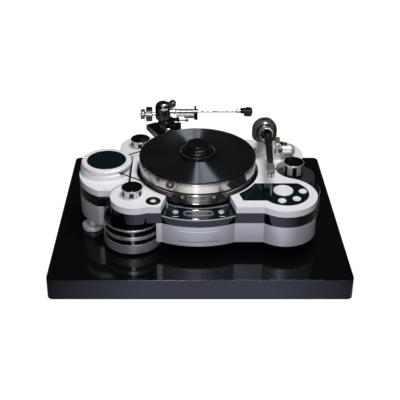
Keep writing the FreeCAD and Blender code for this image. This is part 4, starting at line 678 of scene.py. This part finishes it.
# %% [markdown]
# ## The right headshell and cartridge
#
# The right arm's headshell is cast with a coarse grey texture, so its grain is large and deep.
# The cartridge under it is moulded in black with a thin gloss, and two painted highlights lie on
# its face.

# %% Right headshell and cartridge
HIGHLIGHT_X_MM, HIGHLIGHT_Y_MM, HIGHLIGHT_Z_MM = (171.0, 179.6), -151, 253
HIGHLIGHT_HALF_MM = (2.8, 9, 7)

dress_node("right_headshell", finish("grey textured headshell", "#77777a", 0.38, metal=0.4,
                                     grain_mm=1.6, grain=0.6, edge_mm=0.4, worn_glint="#d0d0d4",
                                     wear_glint=0.4))
cartridge = finish("black cartridge", "#1a1a1c", 0.28, coat=0.3, worn_glint="#8c8c90", wear_glint=0.4,
                   edge_mm=0.4)
# Painted highlights: two bright patches on the cartridge's face.
for x in HIGHLIGHT_X_MM:
    overlay(cartridge, spot(cartridge, (x, HIGHLIGHT_Y_MM, HIGHLIGHT_Z_MM), HIGHLIGHT_HALF_MM), **BRIGHT_AND_HIGHLIGHT)
dress_node("right_cartridge", cartridge)

# %% [markdown]
# ## Building surfaces
#
# Every added piece is a surface in numpy: a profile carried round an axis or along a path.
# One helper turns a grid of points into a mesh, closes it where it should close, and hands it
# to the body that it belongs to.

# %% Surface helper
def surface(name, grid, made, body, ring=False):
    """A closed mesh from a grid of points (rows, columns, 3).

    Columns wrap round. Rows wrap round as well in a ring, and otherwise the ends are capped.
    """
    rows, columns = grid.shape[:2]
    points = grid.reshape(-1, 3)
    row, column = np.meshgrid(np.arange(rows if ring else rows - 1), np.arange(columns),
                              indexing="ij")
    beside, above = (column + 1) % columns, (row + 1) % rows
    quads = np.stack([row * columns + column, row * columns + beside,
                      above * columns + beside, above * columns + column], -1)
    faces = quads.reshape(-1, 4).tolist()
    if not ring:
        faces.append(list(range(columns))[::-1])
        faces.append(list(range((rows - 1) * columns, rows * columns)))
    mesh = bpy.data.meshes.new(name)
    mesh.from_pydata(points.tolist(), [], faces)
    mesh.update()
    mesh.materials.append(made["material"])
    piece = bpy.data.objects.new(name, mesh)
    bpy.context.scene.collection.objects.link(piece)
    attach(piece, body)
    return piece


def smooth(piece, angle):
    """Smooth shading that keeps edges sharper than the angle, in degrees."""
    piece.data.shade_smooth()
    piece.data.set_sharp_from_angle(angle=math.radians(angle))
    return piece


# %% [markdown]
# ## The record
#
# A record is a black vinyl disc with a raised rim, grooves, and a sunk label. Its grooves are
# far too fine to model. Their walls lean both ways across the groove, so light spreads along
# the radius and stays narrow round it: that is what draws the bright wedges on a record. An
# anisotropic shine with the grooves' own direction as its tangent does the same. Its roughness
# changes a little from band to band. Real bands are as fine as a groove, a tenth of a
# millimetre, and these are drawn coarser so that they show.

# %% Vinyl
GROOVE_BAND_MM, GROOVE_SHARE = 1.6, 0.16
GROOVE_ROUGH_LOW, GROOVE_ROUGH_HIGH = 0.36, 0.44

vinyl = finish("black vinyl", "#050506", 0.38, vary=0.08, cloud_mm=80, grain_mm=0.6, grain=0.0,
               edge_mm=0.3, wear_glint=0.1, worn_glint="#202024")
tree = vinyl["tree"]
_, around, reach = about_axis(tree, vinyl["place"], axis_x, axis_y)
bands = add(tree, "TexNoise", {"W": reach, "Scale": 1 / (GROOVE_BAND_MM * MM), "Detail": 3.0},
            noise_dimensions="1D").outputs["Fac"]
overlay(vinyl, GROOVE_SHARE, "BsdfAnisotropic", Color=linear("#a9b0bd"), Tangent=around,
        Roughness=spread(tree, bands, GROOVE_ROUGH_LOW, GROOVE_ROUGH_HIGH), Anisotropy=0.80)
print("vinyl", len(tree.nodes), "nodes")

# %% [markdown]
# The disc is pressed between two dies, so its section is the same all round: a sunk label, a
# flat face for the grooves, and a rim that stands a little proud. It is turned from that
# section.

# %% Record disc
RECORD_RADIUS_MM, HOLE_MM, RECORD_STEPS = 150.8, 3.62, 360
# A radius and a drop below the upper level: label, grooved face, rim.
UPPER_MM = [(HOLE_MM, 0.5), (50.5, 0.5), (51.2, 0.3), (56, 0.3), (58, 0.35),
            *[(radius, 0.35) for radius in range(64, 144, 8)],
            (146, 0.35), (147.5, 0.1), (149, 0.0),
            (RECORD_RADIUS_MM - 0.4, 0.25), (RECORD_RADIUS_MM, 0.9)]
# A radius and a rise above the lower level: round the rim and back under the disc.
UNDER_MM = [(RECORD_RADIUS_MM - 0.4, 0.2), (RECORD_RADIUS_MM - 1.2, 0.0), (149, 0.0), (60, 0.0)]


def lathe(profile, x, y, count):
    """A grid from a closed profile of (radius, height) in metres, turned about an axis.

    At each angle a point stands at the axis plus its radius times the cosine and the sine of
    the angle, and its height stays.
    """
    radius, height = np.array(profile).T
    angle = np.linspace(0, 2 * math.pi, count, endpoint=False)
    return np.stack([x + radius[None, :] * np.cos(angle)[:, None],
                     y + radius[None, :] * np.sin(angle)[:, None],
                     np.broadcast_to(height, (count, len(height)))], -1)


record_low, record_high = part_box("record")[0][2] / MM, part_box("record")[1][2] / MM
profile = [(HOLE_MM, record_low)]
profile += [(radius, record_high - drop) for radius, drop in UPPER_MM]
profile += [(radius, record_low + rise) for radius, rise in UNDER_MM]
grid = lathe(np.array(profile) * MM, axis_x, axis_y, RECORD_STEPS)
record = smooth(surface("record_disc", grid, vinyl, "record", ring=True), 30)
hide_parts("record")
print("record faces", len(record.data.polygons))

# %% [markdown]
# ## The display window
#
# The display's frame is in the CAD model. Its window is a dark glass of the same rounded
# outline, two half circles joined by straight lines, which lies in the frame's recess. Its
# body is nearly black, so what shows on it is what it mirrors, and it gets a share of a plain
# mirror for that.

# %% Stadium shapes
def stadium(half, radius, count=24):
    """Points of a rounded bar about the origin, from half its length and its end radius.

    The right end is half a circle: the end's middle plus the radius times the cosine and the
    sine of the turn. The left end is the same with both signs changed.
    """
    turn = np.linspace(-math.pi / 2, math.pi / 2, count)
    right = np.stack([half - radius + radius * np.cos(turn), radius * np.sin(turn)], -1)
    return np.concatenate([right, -right])


def plate(name, outline, x, y, low, high, round_mm, made, body):
    """A flat plate with a rounded upper edge, from an outline about the origin.

    The outline is repeated at rising levels. Over the edge it is drawn in by the rounding less
    its cosine, while the level rises by the rounding's sine.
    """
    rings = []
    centre = outline.mean(0)
    reach = np.linalg.norm(outline - centre, axis=1, keepdims=True)
    edge = round_mm * MM
    steps = [(0.0, low)] + [((1 - math.cos(turn)) * edge, high - edge + math.sin(turn) * edge)
                            for turn in np.linspace(0, math.pi / 2, 4)]
    for inset, level in steps:
        ring = outline * (1 - inset / np.maximum(reach, 1e-6)) + (x, y)
        rings.append(np.column_stack([ring, np.full(len(ring), level)]))
    return smooth(surface(name, np.array(rings), made, body), 12)


# %% Display glass
PANE_INSET_MM, PANE_ROUND_MM, MIRROR_SHARE = 5.3, 0.3, 0.13
PANE_LOW_MM, PANE_HIGH_MM = 1.8, 0.9

frame_low, frame_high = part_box("display_frame")
display_x, display_y = middle("display_frame")[:2]
half = (frame_high[0] - frame_low[0]) / 2 - PANE_INSET_MM * MM
radius = (frame_high[1] - frame_low[1]) / 2 - PANE_INSET_MM * MM
pane = finish("smoked display pane", "#050607", 0.10, coat=0.3, edge_mm=0, grain_mm=4, vary=0.2)
overlay(pane, MIRROR_SHARE, "BsdfGlossy", Color=linear("#ffffff"), Roughness=0.05)
plate("display_window", stadium(half, radius), display_x, display_y,
      frame_high[2] - PANE_LOW_MM * MM, frame_high[2] - PANE_HIGH_MM * MM, PANE_ROUND_MM, pane,
      "base")
print("display window", round(half * 2, 4), "wide")

# %% [markdown]
# ## Legends of the front panel
#
# Each of the two front keys has a light bar printed below it and a small mark above it. They
# are a hair of paint on the glass, so they are very thin plates.

# %% Legends
# The middle's x and y, half the length, and the end radius.
LEGENDS_MM = ((-59.3, -196.9, 6.6, 1.1), (-59.3, -153.2, 1.8, 0.8),
              (55.7, -196.9, 6.6, 1.1), (55.7, -153.2, 1.8, 0.8))
PAINT_SUNK_MM, PAINT_PROUD_MM, PAINT_ROUND_MM = 0.1, 0.12, 0.05

paint = finish("light legend paint", "#e9ecef", 0.45, edge_mm=0, grain_mm=0.3, vary=0.1)
panel = top("front_panel_glass")
for number, (x, y, half, radius) in enumerate(LEGENDS_MM):
    plate(f"panel_legend_{number}", stadium(half * MM, radius * MM), x * MM, y * MM,
          panel - PAINT_SUNK_MM * MM, panel + PAINT_PROUD_MM * MM, PAINT_ROUND_MM, paint,
          "base")
print("panel legends", len(LEGENDS_MM))

# %% [markdown]
# ## The lip of the side panel
#
# Round the side panel's glass the white deck has a low rounded lip. It is a round bead half
# sunk in the deck, carried along the glass's outline: straight along the front, then round
# the big key and back.

# %% Side lip
LIP_CENTRE_MM, LIP_RADIUS_MM, LIP_FRONT_MM, LIP_START_MM = (218, -125), 67.5, -169.0, 110.0
LIP_END, LIP_GAP_MM, BEAD_MM, BEAD_SUNK_MM = math.radians(52), 2, 0.8, 0.1
ARC_POINTS, STRAIGHT_POINTS = 90, 12


def carried(path, radius_mm, count=10):
    """A tube: a circle of the given radius carried along a path, upright to it.

    Each point is the path's point, plus the radius times the cosine of the turn sideways, plus
    the radius times its sine upwards.
    """
    ahead = np.gradient(path, axis=0)
    ahead /= np.linalg.norm(ahead, axis=1, keepdims=True)
    side = np.cross(ahead, (0, 0, 1))
    side /= np.linalg.norm(side, axis=1, keepdims=True)
    rise = np.cross(side, ahead)
    turn = np.linspace(2 * math.pi, 0, count, endpoint=False)
    return (path[:, None] + radius_mm * MM * (np.cos(turn)[None, :, None] * side[:, None]
                                              + np.sin(turn)[None, :, None] * rise[:, None]))


start = math.asin((LIP_FRONT_MM - LIP_CENTRE_MM[1]) / LIP_RADIUS_MM)
turn = np.linspace(-math.pi - start, LIP_END, ARC_POINTS)
arc = np.stack([LIP_CENTRE_MM[0] + LIP_RADIUS_MM * np.cos(turn),
                LIP_CENTRE_MM[1] + LIP_RADIUS_MM * np.sin(turn)], -1)
straight = np.linspace((LIP_START_MM, LIP_FRONT_MM), (arc[0, 0] - LIP_GAP_MM, LIP_FRONT_MM),
                       STRAIGHT_POINTS)
flat = np.concatenate([straight, arc]) * MM + (axis_x, axis_y)
path = np.column_stack([flat, np.full(len(flat), deck - BEAD_SUNK_MM * MM)])
smooth(surface("side_lip", carried(path, BEAD_MM), finishes["pearl_white"], "base"), 50)
print("side lip points", len(path))

# %% [markdown]
# ## The clamp's knurled crown
#
# The record clamp has a crown of small rounded teeth round its ring, for a grip. The crown is
# turned about the axis, and its height rises and falls forty times on the way round.

# %% Clamp crown
CROWN_TEETH, CROWN_IN_MM, CROWN_OUT_MM, CROWN_RISE_MM = 40, 42.6, 46.4, 1.3
CROWN_SUNK_MM, CROWN_UNDER_MM, TOOTH_FULLNESS = 0.2, 0.5, 0.6
CROWN_STEPS, CROWN_ROWS = 640, 8


def toothed_ring(base):
    """A grid for a ring of rounded teeth about the platter's axis, from its level.

    Round the ring, the rise is the cosine of the angle times the number of teeth, to the power
    of the fullness, and nothing where that cosine is below nothing. Across the ring it is the
    root of the sine of the way across. Both are multiplied. The lower face is flat.
    """
    angle = np.linspace(0, 2 * math.pi, CROWN_STEPS, endpoint=False)
    across = np.linspace(0, 1, CROWN_ROWS)
    tooth = np.clip(np.cos(CROWN_TEETH * angle), 0, 1) ** TOOTH_FULLNESS
    height = (base - CROWN_SUNK_MM * MM + CROWN_RISE_MM * MM * tooth[:, None]
              * np.sin(math.pi * across)[None, :] ** 0.5)
    radius = (CROWN_IN_MM + (CROWN_OUT_MM - CROWN_IN_MM) * across) * MM
    upper = np.stack([axis_x + radius[None, :] * np.cos(angle)[:, None],
                      axis_y + radius[None, :] * np.sin(angle)[:, None], height], -1)
    lower = upper[:, ::-1].copy()
    lower[..., 2] = base - CROWN_UNDER_MM * MM
    return np.concatenate([lower, upper], 1)


crown_finish = finish("dark knurled crown", "#1b1c1f", 0.22, coat=0.6, edge_mm=0, grain_mm=0.3)
crown = surface("clamp_crown", toothed_ring(top("clamp_ring")), crown_finish, "clamp",
                ring=True)
smooth(crown, 60)
print("crown faces", len(crown.data.polygons))

# %% [markdown]
# ## The studio
#
# The floor is white paper. The camera sees it as pure white, so no shadow shows on it, as in a
# picture that was cut out. The object's polished sides mirror the floor as well, and they see it
# differently: only a patch in front of the object glows, and it fades to dark on both sides and
# towards the back. The glow is no lamp and shows only in reflections: a painted reflection of a
# lit patch. This patch draws the bright stripe down the middle of the platter and the shine on
# the slab's front. To matt pieces the floor is a dim grey. The patch's places are in metres.

# %% Floor
REACH = 4.0
PATCH_MIDDLE, PATCH_FULL, PATCH_END = 0.02, 0.16, 0.42
PATCH_BACK, PATCH_FRONT = 0.05, -0.20
GLOW_PATCH, GLOW_ASIDE, BACK_SHARE = 1.187, 0.0212, 0.04


def flat_mesh(name, corners, made):
    """A single face from its four corners, as part of the stage."""
    mesh = bpy.data.meshes.new(name)
    mesh.from_pydata(corners, [], [(0, 1, 2, 3)])
    mesh.materials.append(made)
    piece = bpy.data.objects.new(name, mesh)
    bpy.context.scene.collection.objects.link(piece)
    return piece


def seen(tree, *kinds):
    """One where the ray is of one of the kinds, otherwise nothing."""
    path = add(tree, "LightPath").outputs
    total = path[kinds[0]]
    for kind in kinds[1:]:
        total = add(tree, "Math", {0: total, 1: path[kind]}, operation="MAXIMUM").outputs[0]
    return total


paper = bpy.data.materials.new("white paper floor")
tree = blank(paper)
place = add(tree, "SeparateXYZ", {"Vector": add(tree, "TexCoord").outputs["Object"]}).outputs
# Painted reflection: the floor glows for glossy rays only, in a patch in front of the object.
beside = add(tree, "Math", {0: place["X"], 1: PATCH_MIDDLE}, operation="SUBTRACT")
aside = add(tree, "Math", {0: beside.outputs[0]}, operation="ABSOLUTE")
glow_across = add(tree, "MapRange", {"Value": aside.outputs[0], "From Min": PATCH_FULL,
                             "From Max": PATCH_END, "To Min": GLOW_PATCH, "To Max": GLOW_ASIDE})
ahead = add(tree, "MapRange", {"Value": place["Y"], "From Min": PATCH_BACK,
                               "From Max": PATCH_FRONT, "To Min": BACK_SHARE, "To Max": 1.0})
glow = product(tree, glow_across.outputs[0], ahead.outputs[0], seen(tree, "Is Glossy Ray"))
matt = add(tree, "BsdfDiffuse", {"Color": linear("#616161")})
mirrored = add(tree, "Emission", {"Color": linear("#f5f6ff"), "Strength": glow})
shown = add(tree, "Emission", {"Color": linear("#ffffff"),
                               "Strength": seen(tree, "Is Camera Ray", "Is Transmission Ray")})
both = add(tree, "AddShader", {0: matt.outputs[0], 1: mirrored.outputs[0]})
total = add(tree, "AddShader", {0: both.outputs[0], 1: shown.outputs[0]})
add(tree, "OutputMaterial", {"Surface": total.outputs[0]})
corners = [(-REACH, -REACH), (REACH, -REACH), (REACH, REACH), (-REACH, REACH)]
flat_mesh("floor", [(x, y, 0) for x, y in corners], paper)
print("floor", 2 * REACH, "m wide, lit patch", 2 * PATCH_END, "m wide")

# %% [markdown]
# All around, beyond the picture, the studio is dark: the black slab mirrors that darkness, and
# only the lamps draw lines on it. The dark walls and the roof are hidden from the camera,
# which looks through them at a white world.

# %% Dark walls
CEILING, WALL_GLOW = 3.4, 0.012

dark = bpy.data.materials.new("dark studio wall")
tree = blank(dark)
wall = add(tree, "BsdfDiffuse", {"Color": linear("#303032")})
haze = add(tree, "Emission", {"Color": linear("#ffffff"), "Strength": WALL_GLOW})
total = add(tree, "AddShader", {0: wall.outputs[0], 1: haze.outputs[0]})
add(tree, "OutputMaterial", {"Surface": total.outputs[0]})
for index in range(4):
    (x0, y0), (x1, y1) = corners[index], corners[(index + 1) % 4]
    side = flat_mesh(f"dark_wall_{index}", [(x1, y1, 0), (x0, y0, 0), (x0, y0, CEILING),
                                            (x1, y1, CEILING)], dark)
    side.visible_camera = False
roof = flat_mesh("dark_roof", [(x, y, CEILING) for x, y in reversed(corners)], dark)
roof.visible_camera = False
print("dark walls", CEILING, "m tall")

# %% World
WORLD_DIM = 0.05

world = bpy.data.worlds.new("world")
tree = blank(world)
white = add(tree, "Background", {"Color": linear("#ffffff"), "Strength": 1.0})
dim = add(tree, "Background", {"Color": linear("#ffffff"), "Strength": WORLD_DIM})
direct = seen(tree, "Is Camera Ray", "Is Glossy Ray", "Is Transmission Ray")
both = add(tree, "MixShader", {0: direct, 1: dim.outputs[0], 2: white.outputs[0]})
add(tree, "OutputWorld", {"Surface": both.outputs[0]})
bpy.context.scene.world = world
print("world white to the camera and at", WORLD_DIM, "to matt surfaces")

# %% [markdown]
# ## Lamps
#
# The highlights of the photograph say where the lamps were. The main softbox hangs nearly
# overhead, a little to the right. It draws most of the bright wedges on the record and lights
# the deck. A second one hangs above the front, and a bright one stands close behind the
# camera. A large soft one in front gives the display most of its shine, and a low card lights
# the sides of the chassis. The fill above is so weak that it hardly shows. A softbox's
# brightness is its power over its area, so the power is worked out.

# %% Softboxes
# Name, place, aim, width and height, all in metres, then brightness and colour.
LAMPS = (
    ("main_softbox", (0.36, 0.10, 2.15), (0.0, 0.0, 0.2), 0.32, 0.50, 44.0, "#ffffff"),
    ("over_front", (-0.06, -0.90, 2.30), (0.0, 0.0, 0.2), 0.26, 0.70, 22.0, "#ffffff"),
    ("front_softbox", (-0.13, -1.95, 1.25), (-0.04, 0.0, 0.2), 0.34, 0.20, 40.0, "#ffffff"),
    ("top_fill", (0.0, 0.0, 2.9), (0.0, 0.0, 0.2), 2.4, 2.0, 0.05, "#ffffff"),
    ("front_fill", (0.25, -3.0, 1.4), (0.0, 0.0, 0.2), 1.6, 1.6, 0.9, "#eceeff"),
    ("low_card", (0.03, -1.05, 0.26), (0.03, -0.2, 0.12), 0.80, 0.44, 1.6, "#f2f3ff"),
)


def softbox(name, place, aim, wide, tall, brightness, colour):
    """A soft area lamp at a place, turned to a point. Brightness 1 looks white."""
    data = bpy.data.lights.new(name, "AREA")
    data.shape, data.size, data.size_y = "RECTANGLE", wide, tall
    data.energy = brightness * math.pi * wide * tall
    data.color = linear(colour)[:3]
    lamp_object = bpy.data.objects.new(name, data)
    lamp_object.location = place
    back = np.array(place) - np.array(aim)
    flat = math.hypot(back[0], back[1])
    lamp_object.rotation_euler = (math.atan2(flat, back[2]), 0,
                                  math.atan2(back[0], -back[1]))
    bpy.context.scene.collection.objects.link(lamp_object)
    return lamp_object


for lamp in LAMPS:
    softbox(*lamp)
print("lamps", len(LAMPS))
